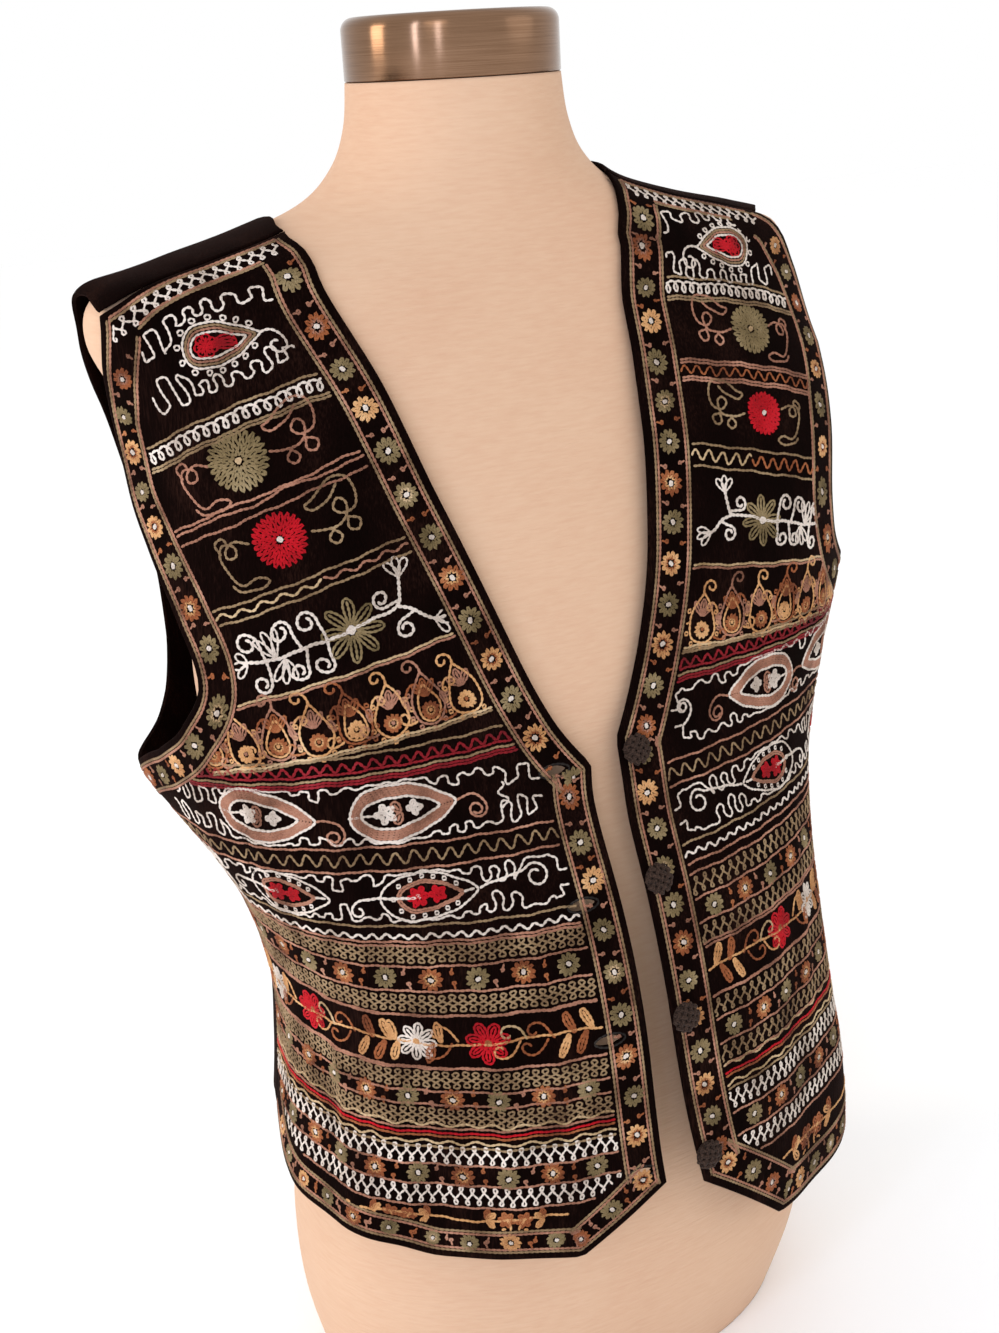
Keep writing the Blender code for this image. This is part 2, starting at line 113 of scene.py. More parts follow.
BACK_OUTER = {
    "right": [(104.0, 3.40), (104.0, 4.60), (103.0, 6.00), (100.0, 7.45), (112.0, 7.55), (121.0, 7.80), (125.0, 8.30),
              (124.0, 8.90), (119.0, 9.85), (113.0, 10.70), (107.0, 11.40), (105.0, 12.00), (100.0, 12.72),
              (90.0, 12.95), (78.5, 12.70)],
    "left": [(104.0, 2.90), (104.0, 4.40), (103.0, 6.00), (100.0, 7.60), (112.0, 7.70), (121.0, 7.95), (125.0, 8.40),
             (124.0, 9.00), (119.0, 9.90), (113.0, 10.70), (107.0, 11.40), (104.5, 12.10), (99.0, 12.90),
             (84.0, 13.50), (63.0, 13.60)],
}
BACK_HEM = {
    "right": [(180.0, 3.15), (150.0, 3.18), (125.0, 3.28), (104.0, 3.40)],
    "left": [(180.0, 3.15), (150.0, 3.08), (125.0, 2.98), (104.0, 2.90)],
}
# Large folds: side, turn of the fold at its top and at the hem, level at its top and at the hem,
# half width in degrees, height
FOLDS = [
    ("right", 56.0, 62.0, 8.2, 2.6, 9.0, 0.005),
    ("right", 40.0, 42.0, 6.5, 2.4, 8.0, -0.003),
    ("right", 88.0, 84.0, 6.5, 2.6, 8.0, 0.004),
    ("left", 52.0, 56.0, 8.4, 2.0, 9.0, 0.005),
    ("left", 30.0, 34.0, 6.0, 2.0, 8.0, -0.003),
    ("left", 80.0, 78.0, 6.5, 2.2, 9.0, 0.004),
    ("right", 128.0, 124.0, 7.0, 2.8, 9.0, 0.005),
    ("left", 126.0, 122.0, 6.6, 2.6, 9.0, 0.006),
    ("right", 152.0, 156.0, 7.5, 2.8, 8.0, 0.004),
    ("left", 150.0, 152.0, 7.2, 2.6, 8.0, 0.004),
]
# Puckers: side, turn, level, half width in degrees, half height in levels, height
PUCKERS = [
    ("right", 100.0, 7.40, 10.0, 0.45, 0.009),
    ("left", 76.0, 8.45, 8.0, 0.50, 0.006),
    ("right", 99.0, 12.85, 9.0, 0.45, 0.004),
]
# Creases of the cloth: side, turn and level of the middle, half width in degrees, half length in levels,
# lean in degrees for each level, height out from the body in millimetres
CREASES = [
    ("right", 66.0, 7.1, 2.6, 1.1, -7.0, 1.5), ("right", 74.0, 6.6, 2.2, 0.8, -9.0, -0.9),
    ("right", 82.0, 6.9, 2.4, 0.7, -6.0, 1.3), ("right", 47.0, 5.6, 2.4, 1.5, 1.5, 1.0),
    ("right", 60.0, 4.3, 2.0, 0.9, 3.0, -0.8), ("right", 68.0, 4.4, 2.6, 1.2, 1.0, 1.4),
    ("right", 30.0, 4.2, 2.2, 1.0, -2.0, 0.8), ("right", 20.0, 5.4, 2.0, 1.3, 1.0, 0.6),
    ("right", 52.0, 9.2, 2.6, 0.8, 5.0, 0.8), ("right", 60.0, 10.6, 2.0, 0.9, 3.0, 0.6),
    ("left", 60.0, 7.3, 2.6, 1.0, -6.0, 1.4), ("left", 68.0, 6.7, 2.2, 0.9, -7.0, -0.9),
    ("left", 40.0, 5.2, 2.4, 1.6, 2.0, 1.0), ("left", 24.0, 4.0, 2.0, 1.1, -2.0, 0.8),
    ("left", 74.0, 4.4, 2.6, 1.3, 1.0, 1.4), ("left", 50.0, 9.4, 2.6, 0.8, 5.0, 0.8),
    ("right", 116.0, 5.2, 2.6, 1.7, 1.0, 1.8), ("right", 138.0, 4.6, 2.6, 1.3, 2.0, 1.5),
    ("right", 160.0, 8.8, 3.2, 1.0, 9.0, 1.1), ("right", 168.0, 5.4, 2.4, 1.6, 1.0, 1.3),
    ("left", 112.0, 4.9, 2.6, 1.6, -1.0, 1.8), ("left", 136.0, 5.6, 2.6, 1.2, -2.0, 1.4),
    ("left", 158.0, 9.4, 3.2, 0.9, -8.0, 1.1), ("left", 166.0, 4.8, 2.4, 1.4, 1.0, 1.2),
]
# Buttons on the wearer's left front edge and the slits opposite: turn, level
BUTTONS = [(3.2, 7.42), (1.9, 6.19), (2.1, 4.90), (3.6, 3.40)]
SLITS = [(8.9, 7.41), (10.0, 6.15), (10.1, 4.89), (6.9, 3.44)]
BUTTON_R, BUTTON_RISE, BUTTON_LIFT = 0.0074, 0.0062, 0.0006
SLIT_LONG, SLIT_WIDE = 0.0150, 0.0050
SLIT_CUT = (-0.006, 0.008)           # how far each slit is cut below and above the middle of the cloth
CAP_LOW, CAP_TOP, CAP_R, CAP_ROUND, CAP_EDGE = 0.6843, 0.713, 0.0520, 0.0060, 0.0006
CAP_SIDES, BUTTON_SIDES = 128, 32
FORM_SIDES, FORM_RINGS = 168, 150
TOP_LEVEL = len(SECTIONS) - 1.0001   # just short of the last row


def blend(a, b, c, d, s):
    """Smooth curve from b to c at share s, led by a and d on either side."""
    return 0.5 * (2 * b + (c - a) * s + (2 * a - 5 * b + 4 * c - d) * s ** 2 + (3 * b - a - 3 * c + d) * s ** 3)


def section(level):
    """Smoothly blended rows of SECTIONS at levels that need not be whole."""
    level = np.clip(level, 0, TOP_LEVEL)
    i = np.floor(level).astype(int)
    near = (SECTIONS[np.clip(i + k, 0, len(SECTIONS) - 1)] for k in (-1, 0, 1, 2))
    return blend(*near, (level - i)[:, None])


def form_points(turn, level):
    """Points on the form; turn is in radians from the centre front, positive to the wearer's left (+X)."""
    z, half, front, back, square = section(level).T[:5]
    middle, deep, power = (back - front) / 2, (back + front) / 2, 2 / square
    s, c = np.sin(turn), np.cos(turn)
    return np.stack([MIDDLE[0] + half * np.sign(s) * np.abs(s) ** power,
                     MIDDLE[1] + middle - deep * np.sign(c) * np.abs(c) ** power, z], 1)


def bearing(degrees):
    """Cosine and sine of an angle."""
    return math.cos(math.radians(degrees)), math.sin(math.radians(degrees))


def unit(vectors):
    """The same ways with a length of 1."""
    return vectors / np.maximum(np.linalg.norm(vectors, axis=1), 1e-12)[:, None]


def form_normals(turn, level):
    """Ways straight out of the form."""
    step = 0.02
    across = form_points(turn + step, level) - form_points(turn - step, level)
    up = (form_points(turn, np.minimum(level + step * 2, len(SECTIONS) - 1.01))
          - form_points(turn, np.maximum(level - step * 2, 0)))
    return unit(np.cross(across, up))


def fold_height(turn, level):
    """How far the large folds and puckers lift the cloth."""
    left, away_from_front = turn > 0, np.degrees(np.abs(turn))
    lift = np.zeros(len(turn))
    for side, turn_top, turn_hem, top, hem, half, height in FOLDS:
        down = np.clip((top - level) / (top - hem), 0, 1)
        line = turn_top + (turn_hem - turn_top) * down
        away = (away_from_front - line) / (half * (0.7 + 0.5 * down))
        lift += (left == (side == "left")) * height * down * down * (3 - 2 * down) * np.exp(-away * away)
    for side, middle, high, half, tall, height in PUCKERS:
        away = ((away_from_front - middle) / half) ** 2 + ((level - high) / tall) ** 2
        lift += (left == (side == "left")) * height * np.exp(-away)
    return lift


def crease_height(turn, level):
    """How far the smaller creases lift the cloth."""
    left, away_from_front = turn > 0, np.degrees(np.abs(turn))
    lift = np.zeros(len(turn))
    for side, middle, high, half, tall, lean, height in CREASES:
        up = level - high
        away = ((away_from_front - middle - lean * up) / half) ** 2 + (up / tall) ** 2
        lift += (left == (side == "left")) * height * MM * np.exp(-away)
    return lift


def cloth_points(turn, level, lift=0.0):
    """Points on the inner face of the cloth, moved out by lift."""
    right_side, left_side, front, back = section(level).T[5:]
    c = np.cos(turn)
    side = np.where(turn > 0, left_side, right_side)
    ease = side + (front - side) * np.maximum(c, 0) ** 2 + (back - side) * np.maximum(-c, 0) ** 2
    out = ease + fold_height(turn, level) + crease_height(turn, level) + lift
    return form_points(turn, level) + form_normals(turn, level) * out[:, None]


class Edge:
    """Smooth curve through a table of (turn in degrees, level), read by its length along the cloth from 0 to 1."""

    def __init__(self, rows, sign, corner=None):
        rows = np.array(rows, float)
        fine = []
        for piece in (rows[:corner + 1], rows[corner:]) if corner else (rows,):
            stops = np.linspace(0, len(piece) - 1, EDGE_STEPS * (len(piece) - 1) + 1)[1 if fine else 0:]
            fine.append(np.stack([self.through(piece[:, k], stops) for k in (0, 1)], 1))
        self.path = np.concatenate(fine) * (math.radians(1) * sign, 1)
        lengths = np.linalg.norm(np.diff(cloth_points(*self.path.T), axis=0), axis=1)
        self.length = lengths.sum()
        self.along = np.concatenate([[0], np.cumsum(lengths)]) / self.length
        self.at_corner = self.along[EDGE_STEPS * corner] if corner else 0.0

    @staticmethod
    def through(ys, x):
        """Cubic through the values that never swings past them."""
        slope = np.diff(ys)
        tangent = np.zeros(len(ys))
        tangent[0], tangent[-1] = slope[0], slope[-1]
        a, b = slope[:-1], slope[1:]
        tangent[1:-1] = np.where(a * b > 0, 2 * a * b / np.where(a + b == 0, 1, a + b), 0)
        i = np.minimum(x.astype(int), len(ys) - 2)
        s = x - i
        return ((1 + 2 * s) * (1 - s) ** 2 * ys[i] + s * (1 - s) ** 2 * tangent[i]
                + s * s * (3 - 2 * s) * ys[i + 1] + s * s * (s - 1) * tangent[i + 1])

    def __call__(self, share):
        return np.stack([np.interp(share, self.along, self.path[:, k]) for k in (0, 1)], -1)


class Panel:
    """A cut piece with four edges: inner and outer run up from the hem, hem and seam run from inner to outer."""

    def __init__(self, side, inner, turning, outer, hem, low, seam):
        sign = 1 if side == "left" else -1
        self.inner, self.outer = Edge(inner[side], sign, turning), Edge(outer[side], sign, UNDERARM)
        self.hem, self.seam = Edge(hem[side], sign, low), Edge(seam[side], sign)

    def cut(self, u, v):
        """Turn and level at share u across and v up the piece, following all four edges."""
        a, b = u[:, None], v[:, None]
        corners = ((1 - a) * (1 - b) * self.inner(0) + a * (1 - b) * self.outer(0)
                   + (1 - a) * b * self.inner(1) + a * b * self.outer(1))
        return (1 - a) * self.inner(v) + a * self.outer(v) + (1 - b) * self.hem(u) + b * self.seam(u) - corners

    def level_row(self, v, count=80):
        """Path straight across the piece at share v up its inner and outer edges; below 0 it runs on down."""
        u = np.linspace(0, 1, count)[:, None]
        drop = min(v, 0.0)
        row = (1 - u) * self.inner(max(v, 0.0)) + u * self.outer(max(v, 0.0))
        return row + [0, drop * (self.inner(1)[1] - self.inner(0)[1])]


# ---------------------------------------------------------------- materials
def hex_colour(code):
    """sRGB hex to the linear colour that a shader takes."""
    srgb = [int(code[i:i + 2], 16) / 255 for i in (1, 3, 5)]
    return (*[c / 12.92 if c <= 0.04045 else ((c + 0.055) / 1.055) ** 2.4 for c in srgb], 1.0)


def add(tree, kind, links=(), numbered=(), **settings):
    """Adds a node; settings with an underscore at the end name sockets, the others are the node's own.

    Sockets that share a name are set by their number, in numbered.
    """
    node = tree.nodes.new(kind)
    for key, value in settings.items():
        if key.endswith("_"):
            node.inputs[key[:-1].replace("_", " ")].default_value = value
        else:
            setattr(node, key, value)
    for number, value in numbered:
        node.inputs[number].default_value = value
    for source, target in links:
        tree.links.new(source, node.inputs[target])
    return node


def ramp(tree, source, *stops):
    """Colour ramp over a value, from (position, hex colour) stops."""
    node = add(tree, "ShaderNodeValToRGB", [(source, "Fac")])
    for element, (position, colour) in zip([*node.color_ramp.elements], stops[:2]):
        element.position, element.color = position, hex_colour(colour)
    for position, colour in stops[2:]:
        node.color_ramp.elements.new(position).color = hex_colour(colour)
    return node.outputs["Color"]


def new_material(name, roughness, **sockets):
    """Material with its shader's own sockets set; returns it, its nodes and the shader."""
    material = bpy.data.materials.new(name)
    material.use_nodes = True
    tree = material.node_tree
    shader = tree.nodes["Principled BSDF"]
    shader.inputs["Roughness"].default_value = roughness
    for key, value in sockets.items():
        shader.inputs[key.replace("_", " ")].default_value = value
    return material, tree, shader


def surface(tree, shader, colour, height, depth):
    """Gives the shader its colour, and bump of a real depth in metres."""
    tree.links.new(colour, shader.inputs["Base Color"])
    node = add(tree, "ShaderNodeBump", [(height, "Height")], Strength_=1.0, Distance_=depth)
    tree.links.new(node.outputs["Normal"], shader.inputs["Normal"])


def stretched(tree, scale):
    """The piece's own place in metres, scaled along each axis."""
    place = add(tree, "ShaderNodeTexCoord")
    return add(tree, "ShaderNodeMapping", [(place.outputs["Object"], "Vector")], Scale_=scale).outputs["Vector"]


def cotton_velvet():
    """Cut-pile cotton velvet: near black, with a faint warm bloom where the pile leans and is seen edge on."""
    pile_width, pile_length = 0.7 * MM, 9 * MM        # drawn coarser than the real 0.3 mm tufts so that it shows
    brushed = 1 / 38                                  # 26 mm: how wide the patches of leaning pile are
    material, tree, shader = new_material("cotton velvet, cut pile", 0.9, Sheen_Weight=0.09, Sheen_Roughness=0.3,
                                          Sheen_Tint=hex_colour("#8c5a4a"), Specular_IOR_Level=0.02)
    where = stretched(tree, (1 / pile_width, 1 / pile_width, 1 / pile_length))
    tufts = add(tree, "ShaderNodeTexNoise", [(where, "Vector")], Scale_=1.0, Detail_=3.0, Roughness_=0.6)
    patches = add(tree, "ShaderNodeTexNoise", [(stretched(tree, (1, 1, 0.5)), "Vector")], Scale_=1 / brushed,
                  Detail_=3.0)
    mixed = add(tree, "ShaderNodeMath", [(tufts.outputs["Fac"], 0), (patches.outputs["Fac"], 1)],
                operation="MULTIPLY")
    colour = ramp(tree, mixed.outputs[0], (0.12, "#060201"), (0.27, "#0d0403"), (0.46, "#22120d"))
    surface(tree, shader, colour, tufts.outputs["Fac"], 0.3 * MM)
    return material


def chain_thread(name, light, dark, worn):
    """Mercerised cotton chain stitch: lots of yarn that differ in shade, fine fibres and paler, rubbed crowns."""
    ply, shade_change = 0.45 * MM, 16 * MM            # twist of the yarn, and how soon its dye varies
    material, tree, shader = new_material(name, 0.65, Sheen_Weight=0.05, Sheen_Roughness=0.4,
                                          Specular_IOR_Level=0.14)
    place = stretched(tree, (1, 1, 1))
    lots = add(tree, "ShaderNodeTexNoise", [(place, "Vector")], Scale_=1 / shade_change, Detail_=2.0)
    fibres = add(tree, "ShaderNodeTexNoise", [(place, "Vector")], Scale_=1 / ply, Detail_=3.0, Roughness_=0.7)
    mixed = add(tree, "ShaderNodeMath", [(lots.outputs["Fac"], 0), (fibres.outputs["Fac"], 1)], operation="ADD")
    half = add(tree, "ShaderNodeMath", [(mixed.outputs[0], 0)], [(1, 0.5)], operation="MULTIPLY")
    colour = ramp(tree, half.outputs[0], (0.40, dark), (0.55, light), (0.68, worn))
    surface(tree, shader, colour, fibres.outputs["Fac"], 0.22 * MM)
    return material


def cotton_jersey():
    """Single jersey drawn tight over the form: peach, matt, with fine level courses that wander a little."""
    course, slub = 1.4 * MM, 10 * MM                  # the course drawn a little coarser than the real 0.8 mm
    faded = 1 / 12                                    # 83 mm: how broad the slight changes of shade are
    material, tree, shader = new_material("cotton jersey, knitted", 0.9, Sheen_Weight=0.12, Sheen_Roughness=0.5,
                                          Sheen_Tint=hex_colour("#fff1e4"), Specular_IOR_Level=0.15)
    level = stretched(tree, (1 / (14 * course), 1 / (14 * course), 1 / course))
    courses = add(tree, "ShaderNodeTexNoise", [(level, "Vector")], Scale_=1.0, Detail_=2.0, Roughness_=0.5)
    slubs = add(tree, "ShaderNodeTexNoise", [(stretched(tree, (1, 1, 7)), "Vector")], Scale_=1 / slub, Detail_=4.0)
    shade = add(tree, "ShaderNodeTexNoise", [(stretched(tree, (1, 1, 1)), "Vector")], Scale_=1 / faded, Detail_=2.0)
    mixed = add(tree, "ShaderNodeMath", [(slubs.outputs["Fac"], 0), (shade.outputs["Fac"], 1)], operation="ADD")
    half = add(tree, "ShaderNodeMath", [(mixed.outputs[0], 0)], [(1, 0.5)], operation="MULTIPLY")
    colour = ramp(tree, half.outputs[0], (0.34, "#c7a084"), (0.64, "#cdaa8e"))
    both = add(tree, "ShaderNodeMath", [(courses.outputs["Fac"], 0), (slubs.outputs["Fac"], 1)], operation="ADD")
    surface(tree, shader, colour, both.outputs[0], 0.22 * MM)
    return material


def brushed_steel():
    """Stainless steel brushed round its rim: fine level scratches draw each highlight out into an upright band."""
    scratch, reach = 0.30 * MM, 40 * MM               # height and length of a scratch
    material, tree, shader = new_material("stainless steel, brushed", 0.30, Metallic=1.0, Anisotropic=0.92,
                                          Anisotropic_Rotation=0.25)
    streaks = add(tree, "ShaderNodeTexNoise", [(stretched(tree, (1 / reach, 1 / reach, 1 / scratch)), "Vector")],
                  Scale_=1.0, Detail_=3.0)
    # Painted reflection: the brown in these two colours stands in for the warm surroundings that the cap reflects,
    # which this white studio lacks; the bare steel itself is a neutral grey.
    colour = ramp(tree, streaks.outputs["Fac"], (0.3, "#745742"), (0.7, "#8e6f58"))
    rough = add(tree, "ShaderNodeMapRange", [(streaks.outputs["Fac"], "Value")], To_Min_=0.18, To_Max_=0.28)
    tree.links.new(rough.outputs["Result"], shader.inputs["Roughness"])
    round_rim = add(tree, "ShaderNodeTangent", direction_type="RADIAL", axis="Z")
    tree.links.new(round_rim.outputs["Tangent"], shader.inputs["Tangent"])
    surface(tree, shader, colour, streaks.outputs["Fac"], 0.02 * MM)
    return material


def braided_cord():
    """Waxed cotton cord, braided: dark brown, a little greyer on its worn crowns."""
    ply = 0.6 * MM                                    # width of one ply of the cord
    material, tree, shader = new_material("cotton cord, braided", 0.7, Sheen_Weight=0.04, Sheen_Roughness=0.4,
                                          Specular_IOR_Level=0.10)
    plies = add(tree, "ShaderNodeTexNoise", [(stretched(tree, (1, 1, 1)), "Vector")], Scale_=1 / ply, Detail_=3.0)
    colour = ramp(tree, plies.outputs["Fac"], (0.35, "#130c09"), (0.65, "#45332a"))
    surface(tree, shader, colour, plies.outputs["Fac"], 0.15 * MM)
    return material


THREADS = {
    "white": chain_thread("cotton thread, bleached", "#e0d2c6", "#ab9a8c", "#f0e4d8"),
    "cream": chain_thread("cotton thread, ecru", "#c4a680", "#8a6f4b", "#dcc29b"),
    "khaki": chain_thread("cotton thread, khaki", "#937858", "#604831", "#b19876"),
    "olive": chain_thread("cotton thread, olive", "#85714e", "#56472b", "#a5926f"),
    "brown": chain_thread("cotton thread, rose brown", "#a8745d", "#694433", "#c6977f"),
    "rust": chain_thread("cotton thread, rust", "#9b5731", "#603019", "#be8156"),
    "gold": chain_thread("cotton thread, gold", "#d29d68", "#96633a", "#e8c293"),
    "red": chain_thread("cotton thread, turkey red", "#bb0417", "#7d030d", "#cf1c2c"),
    "crimson": chain_thread("cotton thread, crimson", "#87131c", "#560b12", "#a3303a"),
    "black": chain_thread("cotton thread, black", "#231d1a", "#0e0b0a", "#3f3832"),
}
VELVET, JERSEY, STEEL, CORD = cotton_velvet(), cotton_jersey(), brushed_steel(), braided_cord()


# ---------------------------------------------------------------- meshes
def in_scene(name, data):
    """Object made of a mesh, light or camera, in the scene."""
    obj = bpy.data.objects.new(name, data)
    bpy.context.scene.collection.objects.link(obj)
    return obj


def dressed(name, mesh, material):
    """A piece of the object: its material and slot given, riding with the whole."""
    mesh.materials.append(material)
    obj = in_scene(name, mesh)
    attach(obj, "root")
    return obj


def new_piece(name, verts, quads, material):
    """Smooth piece from arrays of corners and four-sided faces."""
    mesh = bpy.data.meshes.new(name)
    verts, quads = np.asarray(verts, np.float32), np.asarray(quads, np.int32)
    mesh.vertices.add(len(verts))
    mesh.vertices.foreach_set("co", verts.ravel())
    mesh.loops.add(quads.size)
    mesh.loops.foreach_set("vertex_index", quads.ravel())
    mesh.polygons.add(len(quads))
    mesh.polygons.foreach_set("loop_start", np.arange(0, quads.size, 4, dtype=np.int32))
    mesh.update(calc_edges=True)
    mesh.validate()
    mesh.shade_smooth()
    return dressed(name, mesh, material)


@contextmanager
def reworked(mesh):
    """Opens a mesh for work on its corners and faces, then turns all its faces outward."""
    bm = bmesh.new()
    bm.from_mesh(mesh)
    yield bm
    bmesh.ops.recalc_face_normals(bm, faces=bm.faces)
    bm.to_mesh(mesh)
    bm.free()


def grid_quads(corners):
    """Faces of a table of corner numbers."""
    low, high = corners[:-1], corners[1:]
    return np.stack([low[:, :-1], low[:, 1:], high[:, 1:], high[:, :-1]], -1).reshape(-1, 4)


def turned_quads(corners):
    """Faces of a table of corner numbers whose last row joins its first."""
    after = np.roll(corners, -1, axis=0)
    faces = np.stack([corners[:, :-1], after[:, :-1], after[:, 1:], corners[:, 1:]], -1)
    return faces.swapaxes(0, 1).reshape(-1, 4)


def lathe(bm, profile, around, centre=(0.0, 0.0)):
    """Skin turned from (radius, height) pairs, closed where the radius is 0; returns its rings of corners."""
    turns = [2 * math.pi * i / around for i in range(around)]
    rings = [[bm.verts.new((centre[0] + radius * math.cos(a), centre[1] + radius * math.sin(a), height))
              for a in (turns if radius else (0.0,))] for radius, height in profile]
    for low, high in zip(rings, rings[1:]):
        for i in range(around):
            j = (i + 1) % around
            corners = [low[i % len(low)], low[j % len(low)], high[j % len(high)], high[i % len(high)]]
            bm.faces.new(list(dict.fromkeys(corners)))
    return rings


WELD = 0.02 * MM                     # corners closer than this become one
# Columns and rows of the cloth's mesh, each with the share of the piece that its rounded rim takes
FRONT_MESH = ((58, 0.006), (96, 0.0032))
BACK_MESH = ((44, 0.006), (110, 0.003))


def shares(count, rim):
    """Shares across a piece: close together by both edges, where the fold of the edge rounds over."""
    close = rim * np.array([0, 0.15, 0.45, 1.0])
    return np.concatenate([close, np.linspace(rim, 1 - rim, count)[1:-1], 1 - close[::-1]])


def shell_grid(panel, us, vs, round_inner):
    """Corners of the outer and inner faces of a piece, drawn together round its edges."""
    u, v = (a.ravel() for a in np.meshgrid(us, vs))
    rim_u, rim_v = us[3], vs[3]
    inner = np.where(v > round_inner, u / rim_u, 1) if round_inner else u / rim_u
    near = np.clip(np.min([inner, (1 - u) / rim_u, v / rim_v, (1 - v) / rim_v], axis=0), 0, 1)
    half = CLOTH / 2 * np.sqrt(1 - (1 - near) ** 2)
    place = panel.cut(u * (1 - SEAM_TRIM), v * (1 - SEAM_TRIM))
    return [cloth_points(*place.T, CLOTH / 2 + side * half).reshape(len(vs), len(us), 3) for side in (1, -1)]


def shell(name, grids):
    """Cloth of outer and inner faces, welded into one skin round its edges."""
    count = np.cumsum([0] + [grid.shape[0] * grid.shape[1] for grid in grids])
    quads = [grid_quads(np.arange(first, last).reshape(grid.shape[:2]))
             for grid, first, last in zip(grids, count, count[1:])]
    verts = np.concatenate([grid.reshape(-1, 3) for grid in grids])
    obj = new_piece(name, verts, np.concatenate(quads), VELVET)
    with reworked(obj.data) as bm:
        bmesh.ops.remove_doubles(bm, verts=bm.verts, dist=WELD)
    return obj


def flat_size(panel):
    """Longest width and length of a piece, measured along the cloth."""
    widths = [np.linalg.norm(np.diff(cloth_points(*panel.level_row(v).T), axis=0), axis=1).sum()
              for v in (0.02, 0.2, 0.4, 0.6)]
    return max(widths), max(panel.inner.length, panel.outer.length)


def skin_area(grid):
    """Area of one face of the cloth."""
    a, b, c, d = grid[:-1, :-1], grid[:-1, 1:], grid[1:, 1:], grid[1:, :-1]
    halves = np.linalg.norm(np.cross(b - a, d - a), axis=2) + np.linalg.norm(np.cross(d - c, b - c), axis=2)
    return halves.sum() / 2


# ---------------------------------------------------------------- chain stitch
STITCH = 2.6 * MM                    # one link of the chain
LINK = [(0.00, 0.58, 0.70), (0.30, 1.00, 1.00), (0.68, 0.92, 0.88)]     # place in the link, width and height there
PROFILE = [(-1, 0), (-0.56, 1), (0, 0.42), (0.56, 1), (1, 0)]           # two legs of a link with a groove between
THREAD_RISE = 0.42                   # height of the stitch as a share of its width
SUNK = 0.15 * MM                     # the thread beds into the pile


def slopes(turn, level, step=0.003):
    """How the outer face of the cloth moves with turn and with level."""
    by_turn = cloth_points(turn + step, level, CLOTH) - cloth_points(turn - step, level, CLOTH)
    by_level = cloth_points(turn, level + step, CLOTH) - cloth_points(turn, level - step, CLOTH)
    return by_turn / (2 * step), by_level / (2 * step)


def settle(place, target):
    """Moves places until the cloth there lies under the target points."""
    turn, level = place.T
    for _ in range(3):
        gap = target - cloth_points(turn, level, CLOTH)
        along, up = slopes(turn, level)
        a, b, c = (along ** 2).sum(1), (along * up).sum(1), (up ** 2).sum(1)
        x, y = (gap * along).sum(1), (gap * up).sum(1)
        scale = a * c - b * b
        turn = turn + np.clip((c * x - b * y) / scale, -0.3, 0.3)
        level = level + np.clip((a * y - b * x) / scale, -0.8, 0.8)
    return np.stack([turn, level], 1)


class Line:
    """A guide along the cloth, read in millimetres along it and up from it."""

    def __init__(self, path, towards=1):
        self.path, self.points = path, cloth_points(*path.T, CLOTH)
        self.along = np.concatenate([[0], np.cumsum(np.linalg.norm(np.diff(self.points, axis=0), axis=1))]) / MM
        ahead = unit(np.gradient(self.points, axis=0))
        self.ups = np.cross(unit(np.cross(*slopes(*path.T))), ahead) * towards
        self.table = np.concatenate([self.path, self.points, self.ups], 1)

    def aim(self, along, up):
        """First guess of the places, and the points in space that they should come to lie under."""
        row = np.stack([np.interp(along, self.along, column) for column in self.table.T], 1)
        beyond = np.clip(along - self.along[-1], 0, None) + np.clip(along, None, 0)
        if beyond.any():
            ends = self.table[[-1, 1]] - self.table[[-2, 0]]
            ends = ends / np.array([self.along[-1] - self.along[-2], self.along[1]])[:, None]
            row[:, :5] += np.where(beyond[:, None] > 0, ends[0, :5], ends[1, :5]) * beyond[:, None]
        return row[:, :2], row[:, 2:5] + row[:, 5:] * (np.asarray(up) * MM)[:, None]

    def at(self, along, up):
        return settle(*self.aim(np.asarray(along, float), np.asarray(up, float)))


